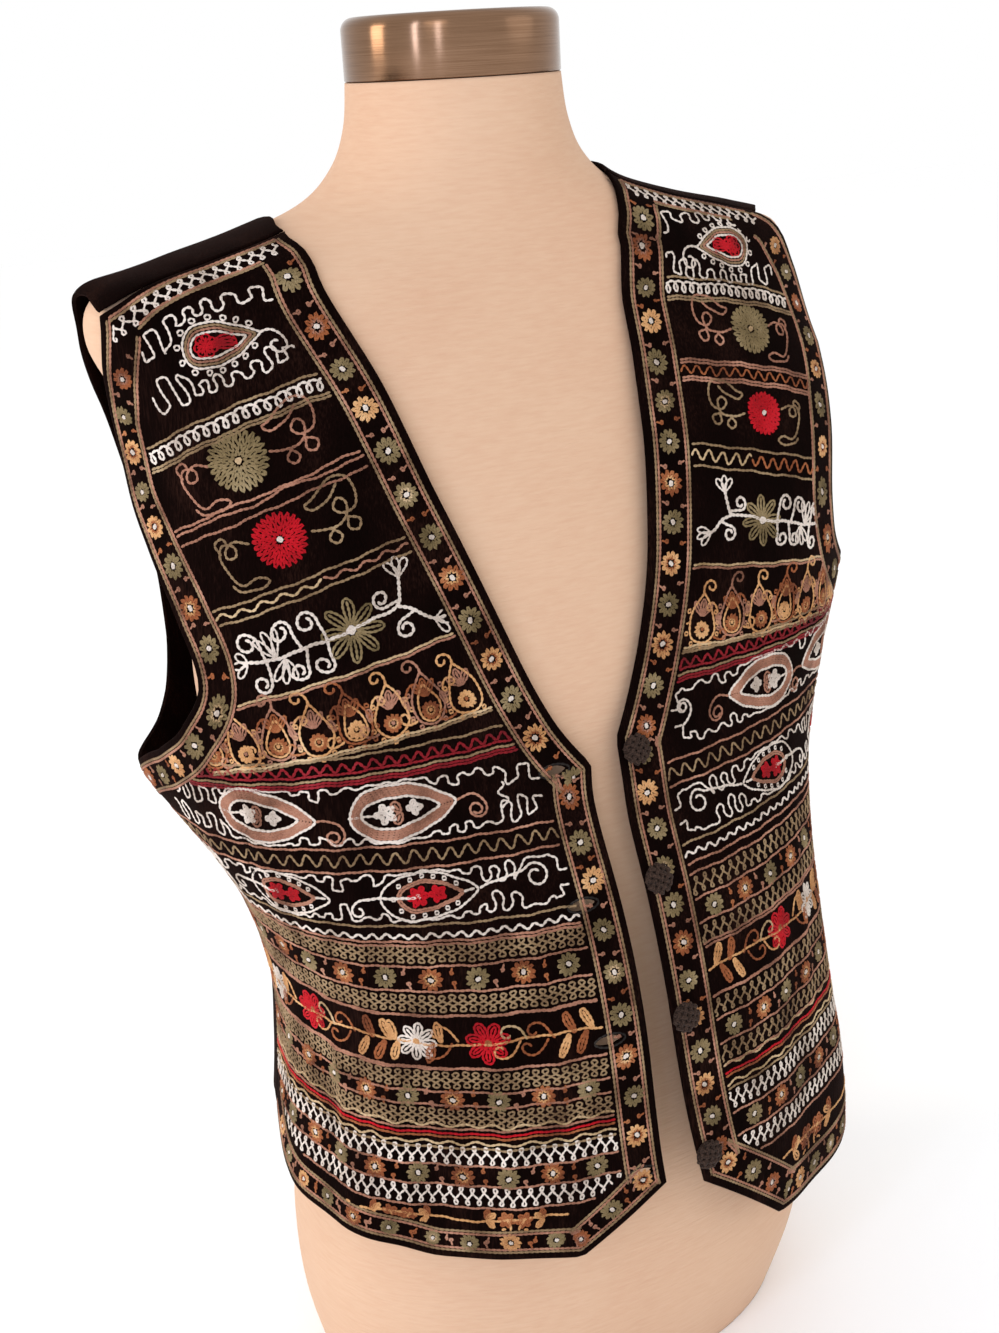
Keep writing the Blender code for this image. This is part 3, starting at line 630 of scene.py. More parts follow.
class Front:
    """One embroidered front: its cut, its edges as guides, and the runs of stitches laid on it."""

    def __init__(self, side):
        self.side, self.runs = side, []
        self.panel = panel = Panel(side, INNER, BREAK[side], OUTER, HEM, POINT, SEAM)
        fine = np.linspace(0, 1, 260)
        arm = np.linspace(panel.outer.at_corner, 1, 120)
        flip = 1 if side == "left" else -1
        down = np.concatenate([panel.inner(fine[::-1]), panel.hem(fine[1::2])])
        self.opening = Line(down, flip)                       # neckline and front edge, then the hem
        self.armhole = Line(panel.outer(arm), flip)           # from the underarm up
        self.shoulder = Line(panel.seam(np.linspace(0, 1, 60)), -flip)
        self.side_seam = Line(panel.outer(np.linspace(0, panel.outer.at_corner, 80)), flip)
        self.edges = [guide.points for guide in (self.opening, self.armhole, self.shoulder, self.side_seam)]
        self.outline = np.concatenate([guide.path for guide in (self.opening, self.side_seam, self.armhole)]
                                      + [self.shoulder.path[::-1]])

    def clear(self, place, margins):
        """Whether places keep the margins, in millimetres, from the opening, armhole, shoulder and side seam."""
        points = cloth_points(*place.T, CLOTH)
        keep = self.on_piece(place)
        for edge, least in zip(self.edges, np.broadcast_to(margins, (len(place), 4)).T):
            square = (points ** 2).sum(1)[:, None] + (edge ** 2).sum(1)[None] - 2 * points @ edge.T
            keep &= np.sqrt(np.maximum(square.min(1), 0)) >= least * MM
        return keep

    def on_piece(self, place):
        """Whether places lie inside the cut outline."""
        x, y = place.T
        inside = np.zeros(len(place), bool)
        for (x0, y0), (x1, y1) in zip(self.outline, np.roll(self.outline, -1, axis=0)):
            if y0 != y1:
                inside ^= ((y0 > y) != (y1 > y)) & (x < (x1 - x0) * (y - y0) / (y1 - y0) + x0)
        return inside

    def sewn(self):
        """All runs laid on the cloth and trimmed to their margins, as {colour: [(places, width)]}."""
        aims = [guide.aim(x, y) for guide, x, y, *_ in self.runs]
        lengths = [len(guess) for guess, _ in aims]
        place = settle(np.concatenate([guess for guess, _ in aims]), np.concatenate([target for _, target in aims]))
        margins = np.repeat([run[5] for run in self.runs], lengths, axis=0)
        keep = self.clear(place, margins)
        kept, first = {colour: [] for colour in THREADS}, 0
        for (_, _, _, colour, wide, _), length in zip(self.runs, lengths):
            inside = np.concatenate([[0], keep[first:first + length].astype(int), [0]])
            for a, b in zip(*(np.flatnonzero(np.diff(inside) == way) for way in (1, -1))):
                if b - a >= 3:
                    kept[colour].append((place[first + a:first + b], wide))
            first += length
        return kept


# Bands along the edges in millimetres from the cut: two double lines, and the flowers between them
BANDS = {
    ("opening", "right"): ((4.6, "khaki"), (6.1, "brown"), 12.6, (19.6, "brown"), (21.1, "khaki")),
    ("opening", "left"): ((4.8, "khaki"), (6.3, "brown"), 13.2, (22.4, "brown"), (23.9, "khaki")),
    ("armhole", "right"): ((4.4, "khaki"), (5.9, "brown"), 12.4, (19.8, "khaki"), (21.3, "brown")),
    ("armhole", "left"): ((4.6, "khaki"), (6.1, "brown"), 15.4, (25.2, "khaki"), (26.7, "brown")),
}
# Rows keep this far from the opening and hem, the armhole, the shoulder and the side seam
FIELD = {"right": (22.6, 21.6, 15.6, 4.0), "left": (25.4, 25.6, 15.6, 4.0)}
FOOT_FIELD = (16.8, 21.6, 15.6, 4.0)     # the lowest row of the right front, where the band is narrower
BAND = (3.2, 3.2, 3.2, 3.5)              # what is sewn in a band keeps this far from them
THREAD = 1.45                        # usual width of a line of chain stitch
FINE = 1.25                          # and of the close work in flowers
SEWN_STEP = 0.9                      # how finely a drawn line is laid on the cloth
RUN_ON, LADDER_ON = 12, 10           # lines and ladders run on past both ends of a row, where its field trims them


class Pen:
    """Draws in millimetres about a spot on a guide: x along it, y up from it."""

    def __init__(self, front, guide, along=0.0, up=0.0, lean=0.0, size=1.0, mirror=1, margins=None):
        self.front, self.guide, self.margins = front, guide, margins or FIELD[front.side]
        self.along, self.up, self.lean, self.size, self.mirror = along, up, lean, size, mirror

    def moved(self, x, y, lean=0.0, size=1.0, mirror=1):
        """Another pen at x and y of this one, turned, scaled or mirrored."""
        x, y = self.turned(np.array([[x, y]], float))[0]
        return Pen(self.front, self.guide, x, y, self.lean + lean * self.mirror, self.size * size,
                   self.mirror * mirror, self.margins)

    def turned(self, shape):
        x, y = shape[:, 0] * self.mirror * self.size, shape[:, 1] * self.size
        c, s = bearing(self.lean)
        return np.stack([self.along + c * x - s * y, self.up + s * x + c * y], 1)

    def draw(self, shape, colour, wide=THREAD, true=False):
        x, y = self.turned(evenly(np.asarray(shape, float), SEWN_STEP)).T
        if not true:                 # a hand-guided machine never runs quite true
            x, y = x + 0.30 * np.sin(y * 0.41 + x * 0.13), y + 0.35 * np.sin(x * 0.23) + 0.2 * np.sin(x * 0.61 + 1.0)
        self.front.runs.append((self.guide, x, y, colour, wide * MM, self.margins))


def evenly(shape, step):
    """A line with its points spread evenly along it."""
    lengths = np.linalg.norm(np.diff(shape, axis=0), axis=1)
    along = np.concatenate([[0], np.cumsum(lengths)])
    stops = np.linspace(0, along[-1], max(int(along[-1] / step), 3) + 1)
    return np.stack([np.interp(stops, along, shape[:, k]) for k in (0, 1)], 1)


def stitch_mesh(front, colour, runs):
    """All the runs of one colour as raised chain stitch."""
    places, widths, heights, starts = [], [], [], [0]
    points = cloth_points(*np.concatenate([place for place, _ in runs]).T, CLOTH)
    first = 0
    for place, wide in runs:
        part = points[first:first + len(place)]
        first += len(place)
        along = np.concatenate([[0], np.cumsum(np.linalg.norm(np.diff(part, axis=0), axis=1))])
        links = max(int(round(along[-1] / STITCH)), 1)
        at, broad, high = np.tile(np.array(LINK), (links, 1)).T
        stops = np.append((np.repeat(np.arange(links), len(LINK)) + at) / links, 1.0) * along[-1]
        broad, high = np.append(broad, 0.5), np.append(high, 0.4)
        broad[0], high[0] = 0.5, 0.4
        places.append(np.stack([np.interp(stops, along, place[:, k]) for k in (0, 1)], 1))
        widths.append(broad * wide)
        heights.append(high * wide)
        starts.append(starts[-1] + len(stops))
    turn, level = np.concatenate(places).T
    wide, high = np.concatenate(widths), np.concatenate(heights)
    centre = cloth_points(turn, level, CLOTH)
    out = unit(np.cross(*slopes(turn, level, 0.008)))
    index, last = np.arange(len(centre)), np.zeros(len(centre), bool)
    last[np.array(starts[1:]) - 1] = True
    opens = np.zeros(len(centre), bool)
    opens[np.array(starts[:-1])] = True
    ahead = unit(centre[np.where(last, index, index + 1).clip(0, len(index) - 1)]
                 - centre[np.where(opens, index, index - 1).clip(0)])
    side = np.cross(out, ahead)
    across, rise = np.array(PROFILE, float).T
    verts = (centre[:, None] + side[:, None] * (across[None] * wide[:, None] / 2)[:, :, None]
             + out[:, None] * (rise[None] * high[:, None] * THREAD_RISE - SUNK)[:, :, None]).reshape(-1, 3)
    columns = len(PROFILE)
    corner = index[~last][:, None] * columns + np.arange(columns - 1)
    quads = np.stack([corner, corner + 1, corner + columns + 1, corner + columns], -1).reshape(-1, 4)
    return new_piece("stitches_%s_%s" % (front.side, colour), verts, quads, THREADS[colour])


# Shapes in millimetres, about their own start or middle
def wave(start, end, pitch, height, middle=0.0, phase=0.0):
    """Soft zigzag along x."""
    x = np.arange(start, end, pitch / 12)
    return np.stack([x, middle + height / 2 * np.sin(2 * math.pi * x / pitch + phase)], 1)


def straight(start, end, y):
    """Level line."""
    return np.array([(start, y), (end, y)], float)


def ring(radius, turns=1.0, inner=None, x=0.0, y=0.0):
    """Circle, or a coil that winds in to the inner radius."""
    t = np.linspace(0, 2 * math.pi * turns, int(16 * turns) + 4)
    r = radius + ((radius if inner is None else inner) - radius) * t / t[-1]
    return np.stack([x + r * np.cos(t), y + r * np.sin(t)], 1)


def petals(radius, swing, count, phase=0.0):
    """Ring of narrow radial loops, drawn in one go."""
    t = np.linspace(0, 2 * math.pi, count * 14 + 1)
    r = radius + swing * np.cos(count * t + phase)
    return np.stack([r * np.cos(t), r * np.sin(t)], 1)


def vine(heading, length, bend, end_bend, power=1.0, x=0.0, y=0.0):
    """Stem that starts on a heading and bends, in degrees for each millimetre, from bend to end_bend."""
    s = np.linspace(0, 1, 60)
    rate = bend + (end_bend - bend) * s ** power
    angle = np.radians(heading + np.concatenate([[0], np.cumsum((rate[1:] + rate[:-1]) / 2 * length / 59)]))
    way = np.stack([np.cos(angle), np.sin(angle)], 1) * length / 59
    return np.concatenate([[(x, y)], np.cumsum(way, axis=0)[:-1] + (x, y)])


def through(*points):
    """Smooth curve through a few points."""
    points = np.array(points, float)
    padded = np.concatenate([[2 * points[0] - points[1]], points, [2 * points[-1] - points[-2]]])
    s = np.linspace(0, 1, 9)[:-1, None]
    parts = [blend(*near, s) for near in zip(padded, padded[1:], padded[2:], padded[3:])]
    return np.concatenate(parts + [points[-1:]])


def drop(length, width, x=0.0, y=0.0, heading=0.0, fullness=1.0):
    """Teardrop outline that starts at its point; x and y place the middle of its length."""
    t = np.linspace(0, 2 * math.pi, 40)
    along, across = -length * np.cos(t) / 2, width / 2 * 1.3 * np.sin(t) * np.abs(np.sin(t / 2)) ** fullness
    c, s = bearing(heading)
    return np.stack([x + c * along - s * across, y + s * along + c * across], 1)


def coiled_knot(pen, radius, colour, wide=FINE):
    """Small knot wound from its rim to its middle."""
    pen.draw(ring(radius, 1.8, radius * 0.25), colour, wide)


def rosette(pen, radius, petal, inner, centre="white"):
    """Small round flower: a ring of loops, an inner ring and a coiled middle."""
    pen.draw(petals(radius * 0.69, radius * 0.27, 11), petal, 1.5)
    pen.draw(petals(radius * 0.45, radius * 0.14, 8, 0.5), inner, FINE)
    coiled_knot(pen, radius * 0.19, centre, 1.5)


def full_rosette(pen, radius, petal, centre):
    """Large round flower of four rings of loops."""
    for share, swing, count, phase in ((0.84, 0.15, 25, 0.0), (0.64, 0.14, 20, 1.0), (0.45, 0.13, 15, 0.0),
                                       (0.26, 0.10, 10, 1.0)):
        pen.draw(petals(radius * share, radius * swing, count, phase), petal, 1.5)
    coiled_knot(pen, radius * 0.10, centre, 1.7)


def filled_leaf(pen, length, width, colour, x=0.0, y=0.0, heading=0.0, wide=THREAD):
    """Leaf that grows from x and y, worked solid: an outline and runs inside it."""
    c, s = bearing(heading)
    while width > 0.9 * wide:
        pen.draw(drop(length, width, x + c * length / 2, y + s * length / 2, heading, 0.5), colour, wide)
        x, y = x + c * wide * 0.9, y + s * wide * 0.9
        length, width = length - 1.8 * wide, width - 2.1 * wide
    if width > -0.8 * wide and length > 2:
        pen.draw([(x, y), (x + c * length, y + s * length)], colour, wide)


def daisy(pen, radius, count, petal, centre, start, wide):
    """Open flower of leaf-shaped petals worked solid; wide is a petal's width as a share of the radius."""
    for i in range(count):
        turn = start + 360 * i / count
        c, s = bearing(turn)
        filled_leaf(pen, radius * 0.84, radius * wide, petal, radius * 0.16 * c, radius * 0.16 * s, turn)
    coiled_knot(pen, radius * 0.15, centre, THREAD)


def knobs(pen, outline, gap, colour, out=1.8, size=1.1):
    """Little rings set off an outline."""
    path = evenly(np.asarray(outline, float), gap)
    way = unit(np.gradient(path, axis=0))
    side = np.stack([way[:, 1], -way[:, 0]], 1)
    for x, y in (path + side * out)[1:-1]:
        pen.draw(ring(size, x=x, y=y), colour, 1.15)


def curl(pen, x, y, hand, colour):
    """Short stem up (or down, by hand) that ends in a small knot."""
    pen.draw(np.concatenate([[(x, y), (x + 0.2, y + 1.5 * hand)], ring(1.15, 1.4, 0.4, x + 0.6, y + 3.0 * hand)]),
             colour, 1.15)


def looped_ladder(pen, start, end, height, colour, pitch, wide):
    """Up-and-down line with a small loop at each turn."""
    t = np.arange(0, (end - start) / pitch * 2 * math.pi, math.pi / 10)
    x = start + pitch * t / (2 * math.pi) + 0.29 * pitch * np.sin(2 * t)
    pen.draw(np.stack([x, height / 2 * np.sin(t)], 1), colour, wide)


# ---------------------------------------------------------------- bands and rows of the design
FLOWERS = [("gold", "rust"), ("rust", "brown"), ("gold", "gold"), ("olive", "cream"), ("rust", "gold"),
           ("gold", "rust")]             # petals and inner ring of the round flowers, in turn
SLIT_ROOM = 10.5                     # from the middle of a buttonhole to the flowers beside it


def band(front, name, start, end, gap, radius, offset, slits=(), narrow=0.0):
    """Band along an edge: two double lines, round flowers between them and small curls off the lines.

    It loses up to narrow millimetres of its depth halfway along.
    """
    guide = getattr(front, name)
    *outer, middle, first, second = BANDS[name, front.side]

    def lost(x):
        return narrow * np.sin(math.pi * np.clip((x - start) / (end - start), 0, 1)) ** 0.7

    for depth, colour in (*outer, first, second):
        far = depth > middle
        own, other = (depth - far * narrow) * 0.8 - 0.6, depth - 0.6
        pen = Pen(front, guide, margins=(own if name == "opening" else other, other if name == "opening" else own,
                                         17.0 if far else 3.9, 3.5))
        x = np.append(np.arange(start, end, 4.0), end)
        pen.draw(np.stack([x, depth - far * lost(x)], 1), colour, THREAD, true=True)
    pen = Pen(front, guide, margins=BAND)
    spots = np.arange(start + gap / 2 + offset, end, gap)
    for slit in slits:               # flowers make room for a buttonhole
        near = np.abs(spots - slit) < SLIT_ROOM
        spots = np.where(near, slit + np.where(spots < slit, -SLIT_ROOM, SLIT_ROOM), spots)
    edge = middle - 2.5 - narrow / 2
    reach = {"opening": (edge, edge), "armhole": (middle + 4.0, edge)}[name]
    free = front.clear(guide.at(spots, middle - lost(spots) / 2), (*reach, 18.0, radius))
    for i in np.flatnonzero(free):
        tones = ("olive", "olive") if i % 2 else FLOWERS[(i // 2) % len(FLOWERS)]
        rosette(pen.moved(spots[i], middle - lost(spots[i]) / 2 + 0.7 * math.sin(i * 2.3), lean=37 * i),
                radius * (1 + 0.06 * math.sin(i * 1.7)) - 0.20 * lost(spots[i]), *tones)
    betweens = (spots[1:] + spots[:-1]) / 2
    for base, hand, least in ((outer[1][0] + 0.8, 1, 7.5), (first[0] - 0.8, -1, first[0] * 0.7 - narrow * 0.8)):
        x = betweens + 1.5 * np.sin(np.arange(len(betweens)) * 1.9 + hand)
        y = base - (hand < 0) * lost(x)
        free = front.clear(guide.at(x, y + 2.5 * hand), (least, least, 19.0, 5.0))
        for i in np.flatnonzero(free & (np.diff(spots) > gap * 0.6)):
            curl(pen, x[i], y[i], hand, "brown" if i % 3 else "rust")


def lines(pen, length, *rows):
    """Straight lines along a whole row."""
    for y, colour in rows:
        pen.draw(straight(-RUN_ON, length + RUN_ON, y), colour)


def waved(pen, length, colour, wide, *wave_of):
    """Wave along a whole row."""
    pen.draw(wave(-RUN_ON, length + RUN_ON, *wave_of), colour, wide)


def ladder(pen, length, height, colour, pitch, wide, later=0.0):
    """Looped ladder along a whole row."""
    looped_ladder(pen, later - LADDER_ON, length + LADDER_ON, height, colour, pitch, wide)


def wander(pen, start, end, tall, holes, pitch=9.4):
    """Two white lines that swing between the edges of a row and what stands in it, in uneven round lobes.

    Each hole is the middle, half width and half height of a shape that they keep out of.
    """
    x = np.arange(start, end, 0.4)
    reach = np.full(len(x), -0.8)
    for middle, half, high in holes:
        reach = np.maximum(reach, high * np.clip(1 - ((x - middle) / half) ** 2, 0, 1) ** 0.4)
    base, swing = (tall + reach + 0.9) / 2, np.maximum((tall - reach - 2.9) / 2, 0.35)
    base = np.minimum(base, tall - 0.7)
    for hand in (1, -1):
        a = 2 * math.pi * x / pitch + 1.1 * np.sin(x / 15 + 2 * hand) + 0.8 * np.sin(x / 6.3 + hand) + 1.6 * hand
        uneven = 0.80 + 0.20 * np.sin(a / 2.7 + hand)
        y = base + swing * uneven * np.sin(a) + 0.10 * swing * np.sin(3 * a + x / 9)
        away = -0.15 * pitch * np.sin(2 * a + 0.3) * np.minimum(swing / 4.0, 1.0)
        pen.draw(np.stack([x + away, hand * y], 1), "white", 1.35)


def meander(pen, x, tall, swing, pitch=7.5):
    """White line that stands upright in a gap between shapes and swings from side to side."""
    y = np.arange(-tall, tall, 0.4)
    pen.draw(np.stack([x + swing * np.sin(2 * math.pi * y / pitch + x) + 0.10 * y, y], 1), "white", 1.35)


def row_knobbed_drop(pen, length):
    """Teardrop with red petals in it, knobs round it and a coiled tail, and wandering lines all round."""
    size = min(max(length / 62, 0.75), 1.2)
    middle, up = (length * 0.44, 1.5) if pen.front.side == "right" else (length * 0.55, 2.5)
    tip = pen.moved(middle, up, lean=6, size=size)
    for long, wide, colour in ((22, 9.8, "white"), (25, 12.4, "brown"), (27.6, 14.8, "khaki"),
                               (30.6, 17.4, "white")):
        tip.draw(drop(long, wide, -1.0 - (long - 21) * 0.14, 0, 0), colour, 1.3)
    knobs(tip, drop(30.6, 17.4, -2.3, 0, 0)[::-1], 5.0, "white")
    for turn in (0, 52, 104, 156, 204, 256, 308):
        filled_leaf(tip, 4.6, 2.9, "red", 3.6, 0, turn, FINE)
    for turn in (168, 180, 192):
        filled_leaf(tip, 10.0, 2.6, "red", 1.8, 0, turn, FINE)
    tip.draw(vine(170, 27, 4, 30, 1.3, x=-17, y=0), "white", 1.4)
    wander(pen.moved(0, up), 0.5, length - 0.5, 20.5,
           [(middle - 2 * size, 19.5 * size, 10.0 * size), (middle - 25 * size, 9.0, 7.0)], 9.0)


def row_coils(pen, length):
    """White overlapping coils between khaki lines."""
    t = np.arange(0, length / 5.0 * 2 * math.pi, math.pi / 9)
    x = 5.0 * t / (2 * math.pi) + 2.3 * np.sin(t)
    pen.draw(np.stack([x - 1, 2.7 * np.cos(t)], 1), "white", 1.5)
    lines(pen, length, (4.8, "khaki"), (-4.8, "khaki"), (-6.3, "khaki"))


def row_great_flower(pen, length, petal, centre, stem, radius):
    """Large round flower with looping stems to both sides."""
    share = 0.54 if pen.front.side == "right" else 0.57
    spot = pen.moved(length * share, 0, size=min(max(length / 92, 0.7), 1.1))
    spot.draw(through((-14, -2), (-22, -4), (-30, -2), (-33, 4), (-30, 7), (-27, 4), (-30, 0), (-36, 1), (-39, 8),
                      (-36, 15), (-28, 16), (-20, 11), (-15, 9), (-19, 6), (-27, 9), (-32, 13)), stem)
    spot.draw(through((-22, -4), (-26, -8), (-23, -11), (-20, -8), (-24, -4)), stem)
    spot.draw(through((-30, -2), (-36, -5), (-34, -9), (-30, -7), (-31, -2)), stem)
    spot.draw(through((13, 3), (19, 6), (24, 5), (25, 1), (21, 0), (20, 4), (25, 7), (28, 3), (27, -6), (22, -13),
                      (15, -12), (11, -15), (16, -17), (24, -15), (27, -11)), stem)
    spot.draw(through((27, 3), (29, 8), (25, 10), (23, 7)), stem)
    full_rosette(spot, radius, petal, centre)


def row_triple(pen, length):
    """Three rose brown waves; on the wearer's left, a rust zigzag between double rose brown lines."""
    if pen.front.side == "left":
        lines(pen, length, (4.6, "brown"), (3.1, "brown"), (-4.2, "brown"), (-5.7, "brown"))
        waved(pen, length, "rust", 1.3, 7.6, 4.4, -0.5)
        return
    for y, swing, pitch in ((3.6, 1.3, 64), (1.4, 1.6, 40), (-3.8, 1.4, 27)):
        waved(pen, length, "brown", THREAD, pitch, swing, y, pitch)


def row_zigzag(pen, length):
    """Zigzag that changes colour partway along, between khaki lines."""
    gap, pitch, height, first, second = {"right": (3.6, 10.0, 2.2, "brown", "cream"),
                                         "left": (5.4, 8.0, 5.6, "cream", "rust")}[pen.front.side]
    lines(pen, length, (gap, "khaki"), (-gap, "khaki"))
    pen.draw(wave(-RUN_ON, length * 0.45, pitch, height), first)
    pen.draw(wave(length * 0.45, length + RUN_ON, pitch, height), second)


def coil(pen, x, y, middle_x, middle_y, radius, hand, wide=1.7):
    """White shoot from x and y that winds up round a middle."""
    start = math.atan2(y - middle_y, x - middle_x) + 0.8 * hand
    t = np.linspace(0, 2.5 * math.pi, 30)
    r = radius * (1 - 0.62 * t / t[-1])
    wound = np.stack([middle_x + r * np.cos(start + hand * t), middle_y + r * np.sin(start + hand * t)], 1)
    pen.draw(np.concatenate([through((x, y), ((x + wound[0, 0]) / 2, (y + wound[0, 1]) / 2), wound[0]), wound[1:]]),
             "white", wide)


def spray(pen, x, y, heading, reach=9.0, fan=34):
    """Three slim white petals at the end of a shoot."""
    for turn in (heading - fan, heading, heading + fan):
        c, s = bearing(turn)
        pen.draw(drop(reach, 3.0, x + c * reach / 2, y + s * reach / 2, turn, 0.6), "white", FINE)


def row_branch(pen, length):
    """White branch with coiled shoots, a khaki daisy in the middle and a forked sprig."""
    share = 0.42 if pen.front.side == "right" else 0.50
    spot = pen.moved(length * share, -1, size=min(max(length / 98, 0.75), 1.2))
    spot.draw(through((0, 0), (-12, 1.5), (-23, 2), (-27, 8), (-29, 15)), "white", 1.9)
    spot.draw(through((-23, 2), (-29, -2), (-34, -8), (-38, -11)), "white", 1.9)
    spray(spot, -29, 14, 100)
    spray(spot, -37, -10.5, 205)
    coil(spot, -25, 4, -17.5, 8.5, 4.4, 1)
    coil(spot, -30, -3, -23.5, -9, 4.6, -1)
    spot.draw(through((0, 0), (16, 0.6), (32, 0), (52, 1.5)), "white", 2.0)
    for x, top, away in ((12, 11.0, 6), (24, 10.5, 7), (41, 9.5, 7)):
        coil(spot, x, 0.5, x + away, top, 5.4, -1)
    for x, low, away in ((12, -9.5, 5), (22, -9.0, 6), (41, -9.5, 5)):
        coil(spot, x, 0.5, x + away, low, 4.6, 1)
    spray(spot, 36, 1, 75, 13, 26)
    spray(spot, 33, -1, -78, 11, 28)
    spray(spot, 50, 1, 5, 7.5, 45)
    daisy(spot, 14.5, 8, "olive", "white", 12, 0.29)


def row_double(pen, length):
    """Double line in cream and rose brown."""
    lines(pen, length, (0.75, "cream"), (-0.75, "brown"))


def row_drops(pen, length):
    """Standing teardrops in gold, rust and rose brown, each with a curled top and a round flower."""
    count = max(int(length / 17.5), 2)
    for i in range(count + 1):
        tone, other = (("gold", "rust"), ("brown", "gold"), ("gold", "brown"), ("rust", "gold"))[i % 4]
        spot = pen.moved((i + 0.45) * length / count, -1.5 + 1.2 * (i % 2), lean=-9 + 6 * (i % 3))
        outline = drop(25, 15.5, 0, 0, -90)
        spot.draw(outline, tone, 1.4)
        if i % 2:
            spot.draw(drop(18, 10.5, 0, -2, -90), other, 1.3)
        knobs(spot, outline[::-1][6:-6], 4.6, tone, out=2.0, size=1.0)
        spot.draw(vine(100, 20, -6, -36, 1.2, x=0, y=12), tone, 1.5)
        rosette(spot.moved(0, -6.0), 4.6, "rust" if i % 3 else "gold", "gold", other)
        for turn in (52, 90, 128):
            filled_leaf(spot, 8.5, 2.6, "rust" if i % 2 else "brown", 0, 1.0, turn, FINE)
        spot.draw(vine(-25, 17, 4, 42, 1.3, x=7.0, y=-9), other, 1.4)
        spot.draw(vine(100, 15, 6, 42, 1.3, x=9.0, y=3), "rust" if i % 2 else "gold", 1.4)
        filled_leaf(spot, 6.5, 2.2, "brown", 9.5, -3, 80, FINE)
    lines(pen, length, (-14.6, "cream"), (-15.9, "khaki"))


def row_red(pen, length):
    """Crimson zigzag and lines, with a khaki line above and another among them."""
    lines(pen, length, (5.8, "khaki"), (-4.0, "khaki"), (-5.6, "crimson"), (-7.0, "crimson"))
    waved(pen, length, "crimson", 1.6, 7.0, 3.8, 1.2)
    lines(pen, length, (-1.6, "crimson"))


def solid_flower(pen, radius, colour, count=6):
    """Lobed flower worked solid."""
    for share in (0.74, 0.48):
        pen.draw(petals(radius * share, radius * 0.24, count), colour, 1.6)
    pen.draw(ring(radius * 0.28, 1.5, 0.3), colour, 1.6)


def row_ring_drops(pen, length):
    """Broad banded teardrops with a sprig inside, a coiled tail, and wandering lines all round."""
    holes = []
    for middle, lean in ((length * 0.335, -3), (length * 0.665, 5)):
        spot = pen.moved(middle, 0, lean=lean)
        for long, wide, colour in ((50, 25.0, "white"), (47.2, 22.6, "brown"), (44.6, 20.4, "brown"),
                                   (42.0, 18.2, "brown"), (39.4, 16.0, "brown"), (36.6, 13.6, "white")):
            spot.draw(drop(long, wide, (50 - long) * 0.10, 0, 0, 0.62), colour, 1.6)
        spot.draw([(26, 0), (18, -0.5), (12, 0)], "white", 1.5)
        solid_flower(spot.moved(8.5, 0), 5.2, "white", 5)
        solid_flower(spot.moved(-5.0, 0.5), 3.8, "white", 4)
        for turn in (60, -60):
            filled_leaf(spot, 6.0, 3.4, "brown", 1.5, 0, turn)
        spot.draw(vine(160, 46, 3, 27, 1.2, x=-25, y=0), "brown")
        holes += [(middle + 3, 23.5, 12.8), (middle - 14, 14.0, 8.6), (middle - 36, 10.5, 9.5)]
    if pen.front.side == "left":
        pen.draw(vine(20, 40, 4, 34, 1.2, x=5, y=-5), "white", 1.5)
        holes.append((17, 10, 9.5))
    else:
        meander(pen, length * 0.335 - 48.0, 6.5, 2.0)
    wander(pen, 1.0, length - 1.0, 15.2, holes)


def row_wave(pen, length):
    """Khaki wave between rose brown lines."""
    lines(pen, length, (5.8, "brown"), (-5.8, "brown"))
    waved(pen, length, "khaki", 1.4, 8.4, 5.6)


def row_red_drops(pen, length):
    """Pointed drops with red flowers and knobs, each in a white outline with a spiral, and wandering lines."""
    holes = []
    for middle, lean in ((length * 0.30, -2), (length * 0.62, 3)):
        spot = pen.moved(middle, 0, lean=lean)
        outline = drop(31, 14.4, 0, 0, 0, 0.8)
        spot.draw(outline, "brown", 1.35)
        spot.draw(drop(28.6, 12.2, 0, 0, 0, 0.8), "brown", 1.3)
        knobs(spot, outline[::-1], 5.2, "white", out=2.0, size=1.05)
        solid_flower(spot.moved(6.0, 0), 5.2, "red")
        solid_flower(spot.moved(-3.0, 0.3), 4.2, "red", 5)
        coiled_knot(spot.moved(6.0, 0), 1.3, "white")
        spot.draw([(7, 0), (24, 0.4), (31, 0.6)], "white", 1.7)
        spot.draw(vine(0, 22, -4, -34, 1.3, x=30, y=0.6), "white", 1.5)
        spot.draw([(-15, 0), (-20.5, 0.6)], "white", 1.5)
        spot.draw(drop(46, 20.6, 0.5, 0, 0, 0.55), "white", 1.4)
        holes += [(middle + 4, 21.5, 9.8), (middle - 12, 14.0, 7.0), (middle + 33, 7.5, 7.0)]
    coil(pen, length * 0.30 - 23, 1, 15.5, 2.5, 6.4, 1, 1.5)
    holes.append((15.5, 9.0, 9.0))
    wander(pen, 1.0, length - 1.0, 12.6, holes, 8.8)


def row_white_wave(pen, length):
    """Low white wave between a khaki and a rose brown line."""
    lines(pen, length, (5.2, "khaki"), (-4.6, "brown"))
    waved(pen, length, "white", 1.5, 7.0, 2.4)


def row_net(pen, length):
    """Net of two looped ladders that cross, or one ladder on the wearer's left, between rose brown lines."""
    lines(pen, length, (6.2, "brown"), (-6.2, "brown"))
    if pen.front.side == "left":
        ladder(pen, length, 8.4, "khaki", 5.8, 1.3)
        return
    for later in (0.0, 4.8):
        ladder(pen, length, 8.2, "khaki", 9.6, 1.3, later)


